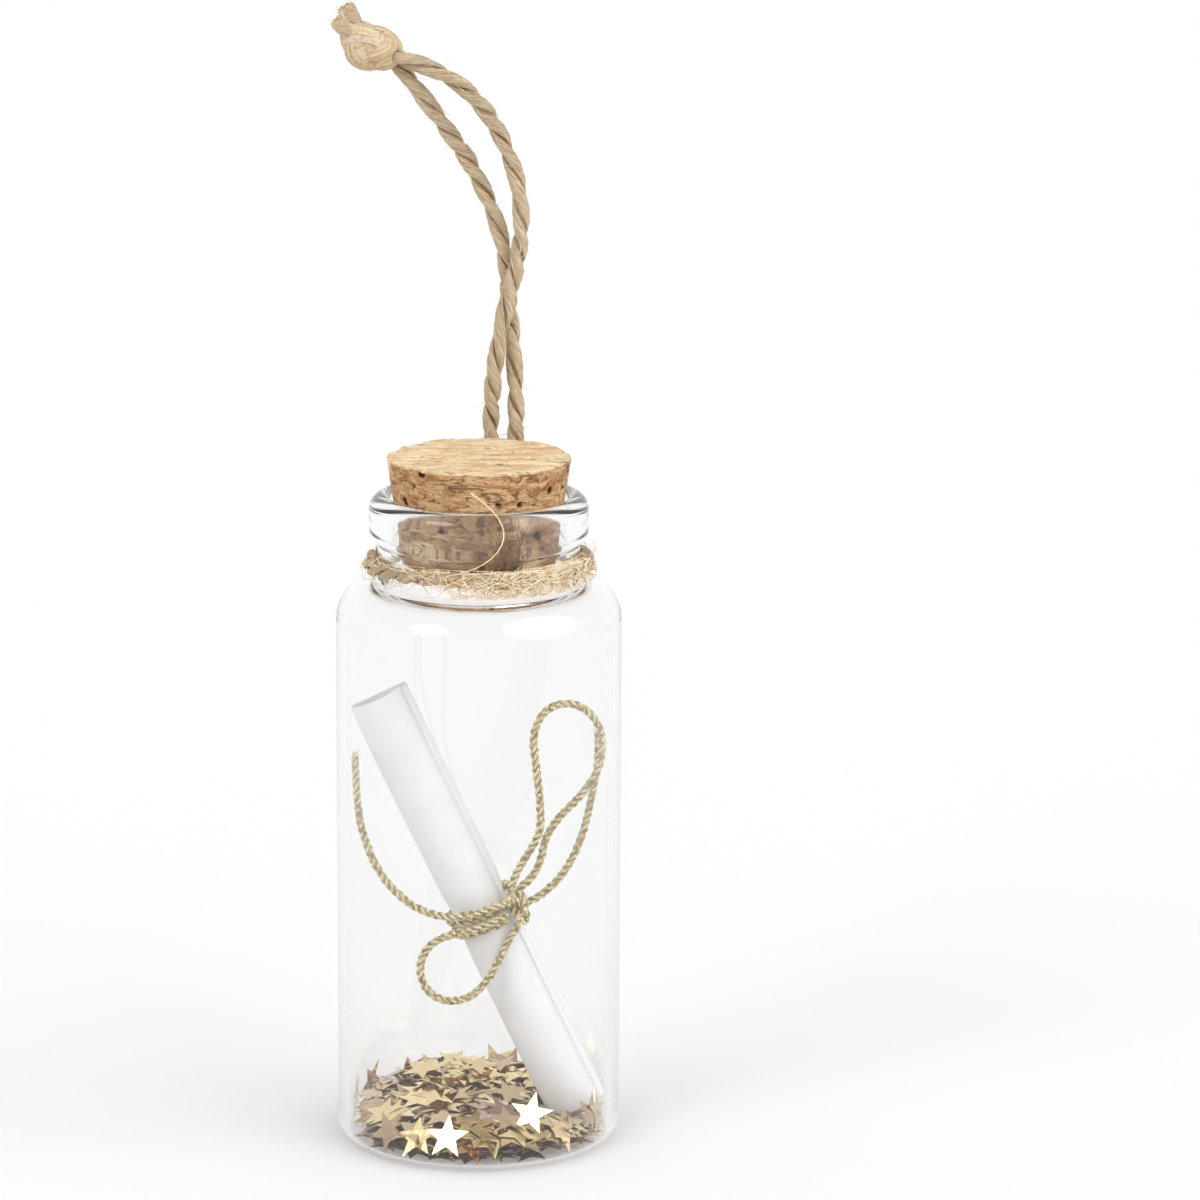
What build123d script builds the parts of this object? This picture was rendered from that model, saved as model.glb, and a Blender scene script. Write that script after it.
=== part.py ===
from build123d import *
import math
import os

# Message in a bottle: a small stoppered glass vial with a rolled paper message tied in gold cord,
# star confetti on its floor, and a loop of jute twine tied round the neck to hang it by.
# Millimetres. The bottle stands on z = 0, its axis is Z, and -Y is the front.

# Glass bottle
body_dia = 30.0
bottle_height = 70.0
wall = 1.1
base_thickness = 1.1
heel_radius = 2.3
base_kick = 0.5            # rise of the base's middle above the ring that it rests on
rest_ring_width = 3.4
shoulder_radius = 4.2
shoulder_drop = 9.0        # from the lip's top down to the top of the shoulder
neck_dia = 21.3
neck_wall = 1.45
neck_root_radius = 0.8
bore_root_radius = 2.0
lip_overhang = 0.85        # how far the lip stands out from the neck
lip_height = 5.0
lip_top_flat = 0.1         # width of the flat ring between the lip's rounded rims
lip_foot_radius = 1.2
lip_mouth_radius = 0.7
floor_crown = 0.3          # rise of the inner floor's middle

# Cork stopper
cork_gap = 0.055           # between the cork and the bore at the top of the lip
cork_taper = 8.75          # of the side, in degrees from the axis
cork_length = 11.2
cork_stand = 4.1           # height above the lip
cork_edge_radius = 0.3

# Jute twine
twine_dia = 1.8
twine_gap = 0.1            # between the twine's turn and the glass, and between the turn and its knot
twine_lip_drop = 2.3       # from the lip's foot down to the middle of the turn round the neck
back_knot_dia = 3.5
back_knot_length = 5.6
back_knot_x = 2.35         # the knot sits behind the neck, a little to the right
back_knot_glass_gap = 0.4
top_knot_dia = 4.5
top_knot_length = 6.6
top_knot_place = (-11.75, 12.6, 115.1)
top_knot_tilt = 24.0       # rise of its left end, in degrees
twine_end_dia = 1.6
twine_end_length = 3.6
twine_end_rise = 62.0      # degrees
twine_end_start_share = 0.75  # where the cut ends start, as a share of the knot's end radius
knot_end_share = 0.62      # a knot's end radius, as a share of its middle radius
knot_band_share = 0.16     # thickness of the band that crosses a knot, as a share of its length

# Paper message
scroll_dia = 6.6
scroll_length = 49.5
scroll_top_gap = 0.16      # between its upper rim and the glass on the left
scroll_foot_gap = 0.54     # between its lower rim and the glass on the right
scroll_floor_gap = 0.72    # under the lowest point of its rim, which rests on the lowest stars
paper_thickness = 0.22
paper_turn_pitch = 0.36
paper_turns = 2
scroll_edge_angle = 305.0  # where round the roll the sheet's outer edge lies, in degrees

# Gold cord
gold_dia = 0.9
gold_gap = 0.05            # between the turns and the paper
gold_turn_pitch = 1.45
gold_turns = 1.9
gold_turn_start = 22.15    # along the scroll from its foot
gold_turn_start_angle = 48.0
tie_knot_dia = 2.5
tie_knot_length = 4.7
tie_knot_along = 23.0      # along the scroll from its foot
tie_knot_angle = 32.0      # round the scroll from +X towards the front
tie_knot_seat_gap = 0.15   # between the knot and the paper

# Star confetti
star_dia = 4.8             # from point to opposite point
star_notch_share = 0.42    # inner corner radius, as a share of the outer
star_thickness = 0.12
star_pitch = 4.9           # from one star of a layer to the next
star_layer_step = 0.6
star_first_layer_gap = 0.36
star_layers = 6
star_wall_gap = 0.3
star_tilt = 5.0            # degrees, the most that a star of a layer leans
star_turn_step = 137.5     # degrees from one star's heading to the next
star_scroll_gap = 0.35
star_under_scroll_gap = 0.08
heap_front_depth = 1.2     # of the heap, above the floor's crown
heap_back_depth = 4.3
heap_side_depth = 1.2      # how much deeper the heap is at its left and right ends
wall_stars = 15            # round the glass, apart from those that the message leaves no room for
wall_star_start = 257.0    # degrees, the first one's place from +X towards the back
wall_star_lean = 14.0      # from upright, with the upper end against the glass
wall_star_gap = 0.1        # between the lower ends of these stars and the layers

# Routes of the free cords, points chosen from the photograph. Tubes round off their corners.
left_strand_route = [
    (1.3, 13.0, 63.4), (1.15, 12.85, 69.4), (0.95, 12.55, 76.0), (1.55, 12.05, 82.7), (2.85, 11.8, 88.8),
    (4.1, 12.0, 93.6), (4.3, 12.25, 98.5), (3.15, 12.35, 103.4), (0.9, 12.2, 108.1), (-2.2, 11.95, 111.4),
    (-6.0, 11.75, 113.4), (-9.4, 11.65, 114.5)]
right_strand_route = [
    (3.4, 13.0, 63.4), (3.55, 12.9, 69.4), (3.75, 13.15, 76.3), (3.4, 13.7, 82.6), (2.85, 14.0, 88.3),
    (2.55, 13.75, 93.3), (1.2, 13.5, 97.8), (-1.0, 13.4, 102.5), (-3.75, 13.5, 106.5), (-6.6, 13.5, 110.3),
    (-9.3, 13.55, 113.9)]
upper_loop_route = [
    (3.3, -3.0, 27.7), (4.0, -3.2, 30.0), (5.25, -3.3, 32.1), (6.55, -3.3, 34.3), (6.5, -3.2, 37.5),
    (6.05, -2.9, 41.4), (5.6, -2.5, 45.1), (7.35, -2.0, 47.9), (10.65, -1.6, 48.0), (13.0, -1.4, 45.2),
    (12.9, -1.3, 41.0), (10.7, -1.5, 37.8), (8.35, -1.6, 35.5), (7.0, -1.6, 33.3), (6.6, -1.5, 30.8),
    (5.65, -1.6, 28.9), (3.95, -1.8, 27.5)]
lower_loop_route = [
    (3.15, -3.55, 25.45), (0.6, -5.4, 24.5), (-2.1, -4.9, 23.8), (-4.8, -4.4, 22.7), (-6.2, -4.5, 20.4),
    (-5.7, -4.8, 17.6), (-3.4, -4.9, 16.1), (-0.8, -4.9, 16.6), (1.05, -4.6, 18.4), (2.35, -3.9, 20.8),
    (3.35, -3.4, 22.9), (4.45, -2.9, 24.3)]
left_tail_route = [
    (2.85, -3.5, 26.75), (0.9, -4.75, 26.15), (-1.3, -4.8, 25.6), (-3.9, -4.0, 25.2), (-7.2, -3.0, 26.2),
    (-10.35, -2.1, 29.2), (-12.25, -1.5, 33.5), (-12.95, -1.3, 37.9), (-13.05, -1.2, 42.0)]
right_tail_route = [
    (4.75, -2.1, 26.1), (7.1, -1.4, 27.2), (9.5, -0.7, 29.8), (11.1, -0.1, 33.4), (12.0, 0.3, 37.4),
    (12.75, 0.45, 41.1), (12.65, 0.5, 44.3)]
arc_run_share = 0.45       # an arc takes this share of the shorter run beside it

# Values that follow
body_r = body_dia / 2
neck_r = neck_dia / 2
bore_r = neck_r - neck_wall
lip_r = neck_r + lip_overhang
lip_top_radius = lip_r - bore_r - lip_mouth_radius - lip_top_flat
inner_r = body_r - wall
shoulder_top = bottle_height - shoulder_drop
shoulder_z = shoulder_top - shoulder_radius
shoulder_centre_r = body_r - shoulder_radius
lip_foot = bottle_height - lip_height
floor_top = base_thickness + floor_crown
twine_r = twine_dia / 2
twine_turn_r = neck_r + twine_gap + twine_r
twine_turn_height = lip_foot - twine_lip_drop
back_knot_y = neck_r + back_knot_glass_gap + back_knot_dia / 2
scroll_r = scroll_dia / 2
gold_r = gold_dia / 2
gold_turn_r = scroll_r + gold_gap + gold_r
star_r = star_dia / 2
tie_knot_r = scroll_r + tie_knot_seat_gap + tie_knot_dia / 2
star_bow = star_r ** 2 / (2 * inner_r)  # how far the glass bends away from a star that stands against it

# The scroll leans to -X across the bottle, from the foot of one wall to the wall opposite
scroll_span = 2 * inner_r - scroll_top_gap - scroll_foot_gap
scroll_corner = math.hypot(scroll_length, scroll_dia)
scroll_lean = math.asin(scroll_span / scroll_corner) - math.atan2(scroll_dia, scroll_length)
lean_cos = math.cos(scroll_lean)
lean_sin = math.sin(scroll_lean)
scroll_foot_x = inner_r - scroll_foot_gap - scroll_r * lean_cos
scroll_foot_z = floor_top + scroll_floor_gap + scroll_r * lean_sin
scroll_low = scroll_foot_z - scroll_r * lean_sin

# The scroll's own frame: Z runs up its length from its foot, and X points to the right
scroll_frame = Plane(
    origin=(scroll_foot_x, 0, scroll_foot_z),
    x_dir=(lean_cos, 0, lean_sin),
    z_dir=(-lean_sin, 0, lean_cos))


def arc_middle(centre, radius, start, end):
    """A point half way round an arc, with its angles in degrees."""
    angle = math.radians((start + end) / 2)
    return (centre[0] + radius * math.cos(angle), centre[1] + radius * math.sin(angle))


def heading(centre, point):
    """The angle of a point seen from a centre, in degrees."""
    return math.degrees(math.atan2(point[1] - centre[1], point[0] - centre[0]))


def toward(start, end, distance):
    """The point at a distance from start on the way to end."""
    reach = math.dist(start, end)
    return tuple(a + (b - a) * distance / reach for a, b in zip(start, end))


def around(centre, radius, degrees):
    """A point on a circle."""
    angle = math.radians(degrees)
    return (centre[0] + radius * math.cos(angle), centre[1] + radius * math.sin(angle))


def dome(edge_r, edge_z, rise):
    """The arc of a shallow dome, from its crown on the axis out to its edge."""
    radius = (edge_r ** 2 + rise ** 2) / (2 * rise)
    half = math.asin(edge_r / radius) / 2
    middle = (radius * math.sin(half), edge_z + rise - radius * (1 - math.cos(half)))
    return ThreePointArc((0, edge_z + rise), middle, (edge_r, edge_z))


def on_scroll(along, degrees, radius):
    """A point placed by its distance up the scroll, its angle towards the front and its radius."""
    angle = math.radians(degrees)
    return scroll_frame.from_local_coords((radius * math.cos(angle), -radius * math.sin(angle), along))


def corner_radii(points):
    """The largest arc that the two runs beside each corner allow."""
    radii = []
    for before, here, after in zip(points, points[1:], points[2:]):
        run_in = Vector(*here) - Vector(*before)
        run_out = Vector(*after) - Vector(*here)
        turn = math.radians(run_in.get_angle(run_out))
        shorter = min(run_in.length, run_out.length)
        radii.append(arc_run_share * shorter / math.tan(turn / 2))
    return radii


def tube(path, radius):
    """A round tube along a path of tangent runs and arcs."""
    section = Plane(origin=path @ 0, z_dir=path % 0) * Circle(radius)
    return sweep(section, path=path)


def cord_tube(name, route, diameter):
    """A free cord's tube, with its radii and volume printed."""
    radii = corner_radii(route)
    path = FilletPolyline(*route, radius=radii)
    solid = tube(path, diameter / 2)
    expected = math.pi * (diameter / 2) ** 2 * path.length
    print(f"{name}: length {path.length:.1f}, least radius {min(radii):.1f},",
          f"volume {solid.volume:.1f} against {expected:.1f}")
    return solid


def knot(diameter, length):
    """A barrel-shaped knot along Z with a band of cord across its middle."""
    half = length / 2
    middle_r = diameter / 2
    end_r = middle_r * knot_end_share
    outline = [
        Line((0, -half), (end_r, -half)),
        ThreePointArc((end_r, -half), (middle_r, 0), (end_r, half)),
        Line((end_r, half), (0, half)),
        Line((0, half), (0, -half))]
    barrel = revolve(Plane.XZ * make_face(outline), Axis.Z)
    band_r = length * knot_band_share / 2
    band = revolve(Plane.XZ * Pos(middle_r - band_r, 0) * Circle(band_r), Axis.Z)
    return barrel + band


def neck_root():
    """Centre of the small arc where the neck rises from the shoulder."""
    centre_r = neck_r + neck_root_radius
    reach = shoulder_radius + neck_root_radius
    rise = math.sqrt(reach ** 2 - (centre_r - shoulder_centre_r) ** 2)
    return (centre_r, shoulder_z + rise)


def glass_bottle():
    """The blown glass vial with its thickened lip, one revolved wall."""
    # Outside, from the base's middle up to the mouth
    rest_outer = body_r - heel_radius
    rest_inner = rest_outer - rest_ring_width
    root = neck_root()
    shoulder_centre = (shoulder_centre_r, shoulder_z)
    on_shoulder = toward(shoulder_centre, root, shoulder_radius)
    shoulder_end = heading(shoulder_centre, on_shoulder)
    foot_centre = (lip_r - lip_foot_radius, lip_foot + lip_foot_radius)
    top_centre = (lip_r - lip_top_radius, bottle_height - lip_top_radius)
    foot_touch = math.degrees(math.acos((neck_r - foot_centre[0]) / lip_foot_radius))
    on_foot = around(foot_centre, lip_foot_radius, -foot_touch)
    mouth_centre = (bore_r + lip_mouth_radius, bottle_height - lip_mouth_radius)
    outside = [
        dome(rest_inner, 0, base_kick),
        Line((rest_inner, 0), (rest_outer, 0)),
        ThreePointArc((rest_outer, 0), arc_middle((rest_outer, heel_radius), heel_radius, -90, 0),
                      (body_r, heel_radius)),
        Line((body_r, heel_radius), (body_r, shoulder_z)),
        ThreePointArc((body_r, shoulder_z), arc_middle(shoulder_centre, shoulder_radius, 0, shoulder_end),
                      on_shoulder),
        ThreePointArc(on_shoulder, arc_middle(root, neck_root_radius, 180, 180 + shoulder_end),
                      (neck_r, root[1])),
        Line((neck_r, root[1]), on_foot),
        ThreePointArc(on_foot, arc_middle(foot_centre, lip_foot_radius, -foot_touch, 0),
                      (lip_r, foot_centre[1])),
        Line((lip_r, foot_centre[1]), (lip_r, top_centre[1])),
        ThreePointArc((lip_r, top_centre[1]), arc_middle(top_centre, lip_top_radius, 0, 90),
                      (top_centre[0], bottle_height)),
        Line((top_centre[0], bottle_height), (mouth_centre[0], bottle_height)),
        ThreePointArc((mouth_centre[0], bottle_height), arc_middle(mouth_centre, lip_mouth_radius, 90, 180),
                      (bore_r, mouth_centre[1]))]
    # Inside, from the mouth down to the floor
    inner_shoulder = shoulder_radius - wall
    inner_heel = heel_radius - wall
    floor_edge = inner_r - inner_heel
    reach = inner_shoulder + bore_root_radius
    bore_root_r = bore_r + bore_root_radius
    bore_root = (bore_root_r, shoulder_z + math.sqrt(reach ** 2 - (bore_root_r - shoulder_centre_r) ** 2))
    under_shoulder = toward(shoulder_centre, bore_root, inner_shoulder)
    under_end = heading(shoulder_centre, under_shoulder)
    inside = [
        Line((bore_r, mouth_centre[1]), (bore_r, bore_root[1])),
        ThreePointArc((bore_r, bore_root[1]), arc_middle(bore_root, bore_root_radius, 180, 180 + under_end),
                      under_shoulder),
        ThreePointArc(under_shoulder, arc_middle(shoulder_centre, inner_shoulder, 0, under_end),
                      (inner_r, shoulder_z)),
        Line((inner_r, shoulder_z), (inner_r, base_thickness + inner_heel)),
        ThreePointArc((inner_r, base_thickness + inner_heel),
                      arc_middle((floor_edge, base_thickness + inner_heel), inner_heel, -90, 0),
                      (floor_edge, base_thickness)),
        dome(floor_edge, base_thickness, floor_crown),
        Line((0, floor_top), (0, base_kick))]
    return revolve(Plane.XZ * make_face(outside + inside), Axis.Z)


def cork_stopper():
    """A tapered cork with small rounded rims, pushed into the mouth."""
    slope = math.tan(math.radians(cork_taper))
    mouth_r = bore_r - cork_gap
    depth = cork_length - cork_stand
    cone = Solid.make_cone(mouth_r - slope * depth, mouth_r + slope * cork_stand, cork_length,
                           Plane.XY.offset(bottle_height - depth))
    return fillet(cone.edges().filter_by(GeomType.CIRCLE), cork_edge_radius)


def neck_twine():
    """One turn of twine round the neck, from one end of the back knot round the front to the other."""
    half_gap = back_knot_length / 2 + twine_gap
    # angles on the turn where the knot's two ends cut it, measured from +Y towards -X
    right = math.degrees(math.asin((back_knot_x + half_gap) / twine_turn_r))
    left = math.degrees(math.asin((back_knot_x - half_gap) / twine_turn_r))
    section = Plane.XZ * Pos(twine_turn_r, twine_turn_height) * Circle(twine_r)
    turn = revolve(section, Axis.Z, 360 - (right - left))
    return Rot(0, 0, 90 - left) * turn


def back_knot():
    """The knot behind the neck, lying along X, which the hanging loop swings about."""
    lying = Rot(0, 90, 0) * knot(back_knot_dia, back_knot_length)
    return Pos(back_knot_x, back_knot_y, twine_turn_height) * lying


def top_knot():
    """The knot that closes the hanging loop."""
    return Pos(*top_knot_place) * Rot(0, 90 + top_knot_tilt, 0) * knot(top_knot_dia, top_knot_length)


def twine_ends():
    """The two cut ends that stick out of the top knot, side by side."""
    ends = []
    inset = top_knot_dia * knot_end_share * twine_end_start_share
    for side in (-1, 1):
        start = Pos(*top_knot_place) * Rot(0, twine_end_rise - 90, 0)
        place = start * Pos(0, side * (twine_end_dia + twine_gap) / 2, inset)
        ends.append(place * Cylinder(twine_end_dia / 2, twine_end_length,
                                     align=(Align.CENTER, Align.CENTER, Align.MIN)))
    return Compound(children=ends)


def message_scroll():
    """The paper message: one sheet rolled up with its bore open, its edge showing along the roll."""
    # Each half turn is an arc, and the centre shifts from side to side as the roll closes in
    shift = paper_turn_pitch / 4
    outer_arcs = []
    inner_arcs = []
    radius = scroll_r - shift
    side = 1
    for _ in range(2 * paper_turns):
        centre = (side * shift, 0)
        start = 0 if side > 0 else 180
        for arcs, arc_r in ((outer_arcs, radius), (inner_arcs, radius - paper_thickness)):
            arcs.append(ThreePointArc(around(centre, arc_r, start), around(centre, arc_r, start + 90),
                                      around(centre, arc_r, start + 180)))
        radius -= 2 * shift
        side = -side
    ends = [Line(outer_arcs[0] @ 0, inner_arcs[0] @ 0), Line(outer_arcs[-1] @ 1, inner_arcs[-1] @ 1)]
    sheet = make_face(outer_arcs + inner_arcs + ends)
    roll = extrude(Rot(0, 0, scroll_edge_angle) * sheet, scroll_length)
    return scroll_frame.location * roll


def biarc(start, start_way, end, end_way):
    """Two tangent arcs from one point and direction to another."""
    gap = end - start
    ways = start_way + end_way
    a = 2 * (1 - start_way.dot(end_way))
    b = gap.dot(ways)
    d = (math.sqrt(b ** 2 + a * gap.dot(gap)) - b) / a
    apexes = (start + start_way * d, end - end_way * d)
    join = (apexes[0] + apexes[1]) * (1 / 2)
    arcs = []
    for first, apex, last in ((start, apexes[0], join), (join, apexes[1], end)):
        half_turn = math.radians((apex - first).get_angle(last - apex)) / 2
        radius = d / math.tan(half_turn)
        chord_middle = (first + last) * (1 / 2)
        inward = (chord_middle - apex).normalized()
        arcs.append(ThreePointArc(first, apex + inward * (radius / math.cos(half_turn) - radius), last))
    return arcs


def gold_cord_turns():
    """The gold cord wound twice round the message, one unbroken tube from knot to knot."""
    quarters = round(gold_turns * 4)
    step = gold_turns * 360 / quarters
    climb = gold_turn_pitch / math.tau
    stations = []
    for quarter in range(quarters + 1):
        degrees = gold_turn_start_angle + quarter * step
        along = gold_turn_start + quarter * step / 360 * gold_turn_pitch
        point = on_scroll(along, degrees, gold_turn_r)
        angle = math.radians(degrees)
        level = Vector(-math.sin(angle) * gold_turn_r, -math.cos(angle) * gold_turn_r, climb)
        way = (scroll_frame.from_local_coords(level) - scroll_frame.origin).normalized()
        stations.append((point, way))
    arcs = []
    for (start, start_way), (end, end_way) in zip(stations, stations[1:]):
        arcs += biarc(start, start_way, end, end_way)
    path = Wire(arcs)
    print(f"gold_cord_turns: length {path.length:.1f}, least gap to itself {least_turn_gap():.2f}")
    return tube(path, gold_r)


def least_turn_gap():
    """The least gap between neighbouring turns of the gold cord, on points a turn apart and near it."""
    half_turn = 36
    samples = []
    count = round(gold_turns * 2 * half_turn)
    for i in range(count + 1):
        turned = i / count * gold_turns
        samples.append(on_scroll(gold_turn_start + turned * gold_turn_pitch,
                                 gold_turn_start_angle + turned * 360, gold_turn_r))
    return min((p - q).length for i, p in enumerate(samples) for q in samples[i + half_turn:]) - gold_dia


def tie_knot():
    """The bow's knot, lying along the message at its right front."""
    place = scroll_frame.to_local_coords(on_scroll(tie_knot_along, tie_knot_angle, tie_knot_r))
    return scroll_frame.location * Pos(*place) * knot(tie_knot_dia, tie_knot_length)


def star():
    """One five-pointed foil star, centred on the origin."""
    corners = []
    for point in range(5):
        corners.append(around((0, 0), star_r, 90 + 72 * point))
        corners.append(around((0, 0), star_r * star_notch_share, 126 + 72 * point))
    return extrude(make_face(Polyline(*corners, close=True)), star_thickness / 2, both=True)


def in_scroll(place, rise):
    """True where a star would meet the message. Those whose highest point is lower than it lie under it."""
    local = scroll_frame.to_local_coords(Vector(*place))
    if place[2] + rise < scroll_low - star_under_scroll_gap or local.Z < -star_r:
        return False
    return math.hypot(local.X, local.Y) < scroll_r / lean_cos + star_r + star_scroll_gap


def heap_top(x, y):
    """Height of the heap at a place. It is deeper at the back and at both ends."""
    back_share = (1 + y / inner_r) / 2
    depth = heap_front_depth + (heap_back_depth - heap_front_depth) * back_share
    return floor_top + depth + heap_side_depth * (x / inner_r) ** 2


def wall_lean():
    """The lean of the stars against the glass: how far out their middles are, and how far they reach in."""
    lean_reach = star_r * math.sin(math.radians(wall_star_lean)) + star_thickness / 2
    middle = inner_r - star_wall_gap - star_bow - lean_reach
    return middle, middle - lean_reach


def confetti_layer(layer):
    """One layer of stars, which lie flat with a slight lean. Upper layers lie where the heap is deep."""
    height = floor_top + star_first_layer_gap + layer * star_layer_step
    reach = wall_lean()[1] - wall_star_gap - star_r
    rows = math.ceil(inner_r / star_pitch) + 1
    row_step = star_pitch * math.sqrt(3) / 2
    shift = star_pitch / 3 * layer
    rise = star_r * math.sin(math.radians(star_tilt)) + star_thickness / 2
    stars = []
    for row in range(-rows, rows + 1):
        for column in range(-rows, rows + 1):
            x = (column + row / 2) * star_pitch + shift % star_pitch
            y = row * row_step + (shift / 2) % row_step
            if math.hypot(x, y) > reach or height > heap_top(x, y) or in_scroll((x, y, height), rise):
                continue
            number = len(stars) + layer * rows
            turn = number * star_turn_step
            lean = star_tilt * math.cos(math.radians(turn * 2))
            stars.append(Pos(x, y, height) * Rot(0, 0, turn) * Rot(lean, 0, 0) * star())
    return Compound(children=stars)


def wall_confetti():
    """Stars that stand on the heap's edge and lean on the glass all round."""
    out = wall_lean()[0]
    stars = []
    for number in range(wall_stars):
        place_angle = wall_star_start + number * 360 / wall_stars
        x, y = around((0, 0), out, place_angle)
        height = max(heap_top(x, y), floor_top + star_r)
        if in_scroll((x, y, height), star_r):
            continue
        upright = Rot(0, 0, place_angle) * Rot(0, 90 + wall_star_lean, 0)
        stars.append(Pos(x, y, height) * upright * Rot(0, 0, number * star_turn_step) * star())
    return Compound(children=stars)


def build():
    """Every node's name and its solid or group of solids. A shallow heap has fewer layers."""
    nodes = {
        "glass_bottle": glass_bottle(),
        "cork_stopper": cork_stopper(),
        "neck_twine": neck_twine(),
        "back_knot": back_knot(),
        "loop_strand_left": cord_tube("loop_strand_left", left_strand_route, twine_dia),
        "loop_strand_right": cord_tube("loop_strand_right", right_strand_route, twine_dia),
        "top_knot": top_knot(),
        "twine_cut_ends": twine_ends(),
        "message_scroll": message_scroll(),
        "gold_cord_turns": gold_cord_turns(),
        "bow_knot": tie_knot(),
        "bow_upper_loop": cord_tube("bow_upper_loop", upper_loop_route, gold_dia),
        "bow_lower_loop": cord_tube("bow_lower_loop", lower_loop_route, gold_dia),
        "bow_left_tail": cord_tube("bow_left_tail", left_tail_route, gold_dia),
        "bow_right_tail": cord_tube("bow_right_tail", right_tail_route, gold_dia)}
    for layer in range(star_layers):
        stars = confetti_layer(layer)
        if stars.children:
            nodes[f"star_confetti_layer_{layer + 1}"] = stars
    nodes["star_confetti_wall"] = wall_confetti()
    return nodes


os.makedirs("parts", exist_ok=True)
for name, shape in build().items():
    export_step(shape, f"parts/{name}.step")
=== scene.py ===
import math

import bmesh
import bpy
import numpy as np
from bpy.props import FloatProperty, FloatVectorProperty, IntProperty, PointerProperty
from mathutils import Euler, Matrix, Vector, noise


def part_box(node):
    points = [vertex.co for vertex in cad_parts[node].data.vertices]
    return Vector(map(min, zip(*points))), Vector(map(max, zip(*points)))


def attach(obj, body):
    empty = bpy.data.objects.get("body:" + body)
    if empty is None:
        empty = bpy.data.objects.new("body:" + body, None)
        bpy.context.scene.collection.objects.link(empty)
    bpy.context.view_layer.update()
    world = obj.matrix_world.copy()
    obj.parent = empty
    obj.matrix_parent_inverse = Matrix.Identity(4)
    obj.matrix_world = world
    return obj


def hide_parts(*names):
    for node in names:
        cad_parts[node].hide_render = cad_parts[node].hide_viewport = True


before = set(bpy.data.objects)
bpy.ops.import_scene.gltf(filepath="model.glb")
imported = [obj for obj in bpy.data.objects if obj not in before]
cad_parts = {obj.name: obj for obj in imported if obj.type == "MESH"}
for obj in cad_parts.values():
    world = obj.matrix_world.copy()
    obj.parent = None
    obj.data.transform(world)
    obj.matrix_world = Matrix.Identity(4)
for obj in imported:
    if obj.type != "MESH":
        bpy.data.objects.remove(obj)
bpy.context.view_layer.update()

bl_info = {
    "name": "Message in a bottle",
    "version": (1, 0, 0),
    "blender": (4, 5, 0),
    "location": "View3D > Sidebar > Bottle",
    "description": "Builds a corked glass bottle with a paper message, foil stars and a jute loop",
    "category": "Add Mesh",
}

MM = 0.001
FULL_TURN = 2 * math.pi

# How far apart the points of a line stand, for the twine, its knots, the gold cord and its knot
TWINE_STEP = 0.25 * MM
KNOT_STEP = 0.2 * MM
CORD_STEP = 0.13 * MM
KNOT_CORD_STEP = 0.12 * MM

# Control points of the free cords in millimetres, the same as the routes of the solids
LEFT_STRAND = [
    (1.3, 13.0, 63.4), (1.15, 12.85, 69.4), (0.95, 12.55, 76.0), (1.55, 12.05, 82.7), (2.85, 11.8, 88.8),
    (4.1, 12.0, 93.6), (4.3, 12.25, 98.5), (3.15, 12.35, 103.4), (0.9, 12.2, 108.1), (-2.2, 11.95, 111.4),
    (-6.0, 11.75, 113.4), (-9.4, 11.65, 114.5)]
RIGHT_STRAND = [
    (3.4, 13.0, 63.4), (3.55, 12.9, 69.4), (3.75, 13.15, 76.3), (3.4, 13.7, 82.6), (2.85, 14.0, 88.3),
    (2.55, 13.75, 93.3), (1.2, 13.5, 97.8), (-1.0, 13.4, 102.5), (-3.75, 13.5, 106.5), (-6.6, 13.5, 110.3),
    (-9.3, 13.55, 113.9)]
UPPER_LOOP = [
    (3.3, -3.0, 27.7), (4.0, -3.2, 30.0), (5.25, -3.3, 32.1), (6.55, -3.3, 34.3), (6.5, -3.2, 37.5),
    (6.05, -2.9, 41.4), (5.6, -2.5, 45.1), (7.35, -2.0, 47.9), (10.65, -1.6, 48.0), (13.0, -1.4, 45.2),
    (12.9, -1.3, 41.0), (10.7, -1.5, 37.8), (8.35, -1.6, 35.5), (7.0, -1.6, 33.3), (6.6, -1.5, 30.8),
    (5.65, -1.6, 28.9), (3.95, -1.8, 27.5)]
LOWER_LOOP = [
    (3.15, -3.55, 25.45), (0.6, -5.4, 24.5), (-2.1, -4.9, 23.8), (-4.8, -4.4, 22.7), (-6.2, -4.5, 20.4),
    (-5.7, -4.8, 17.6), (-3.4, -4.9, 16.1), (-0.8, -4.9, 16.6), (1.05, -4.6, 18.4), (2.35, -3.9, 20.8),
    (3.35, -3.4, 22.9), (4.45, -2.9, 24.3)]
LEFT_TAIL = [
    (2.85, -3.5, 26.75), (0.9, -4.75, 26.15), (-1.3, -4.8, 25.6), (-3.9, -4.0, 25.2), (-7.2, -3.0, 26.2),
    (-10.35, -2.1, 29.2), (-12.25, -1.5, 33.5), (-12.95, -1.3, 37.9), (-13.05, -1.2, 42.0)]
RIGHT_TAIL = [
    (4.75, -2.1, 26.1), (7.1, -1.4, 27.2), (9.5, -0.7, 29.8), (11.1, -0.1, 33.4), (12.0, 0.3, 37.4),
    (12.75, 0.45, 41.1), (12.65, 0.5, 44.3)]

# A long loose fibre in front of the lip, in millimetres
LONG_FIBRE = [
    (-0.6, -10.9, 72.4), (1.0, -11.6, 71.4), (2.4, -12.0, 69.9), (2.9, -12.1, 68.4), (2.5, -12.1, 66.8),
    (1.0, -12.2, 65.3), (-1.0, -12.3, 64.4), (-3.2, -12.3, 63.9)]


def screen_colour(red, green, blue):
    """A colour given as it looks on a screen, from 0 to 255, as the linear values that shaders use."""
    levels = (level / 255 for level in (red, green, blue))
    return tuple(((c + 0.055) / 1.055) ** 2.4 if c > 0.04 else c / 12.92 for c in levels)


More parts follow.
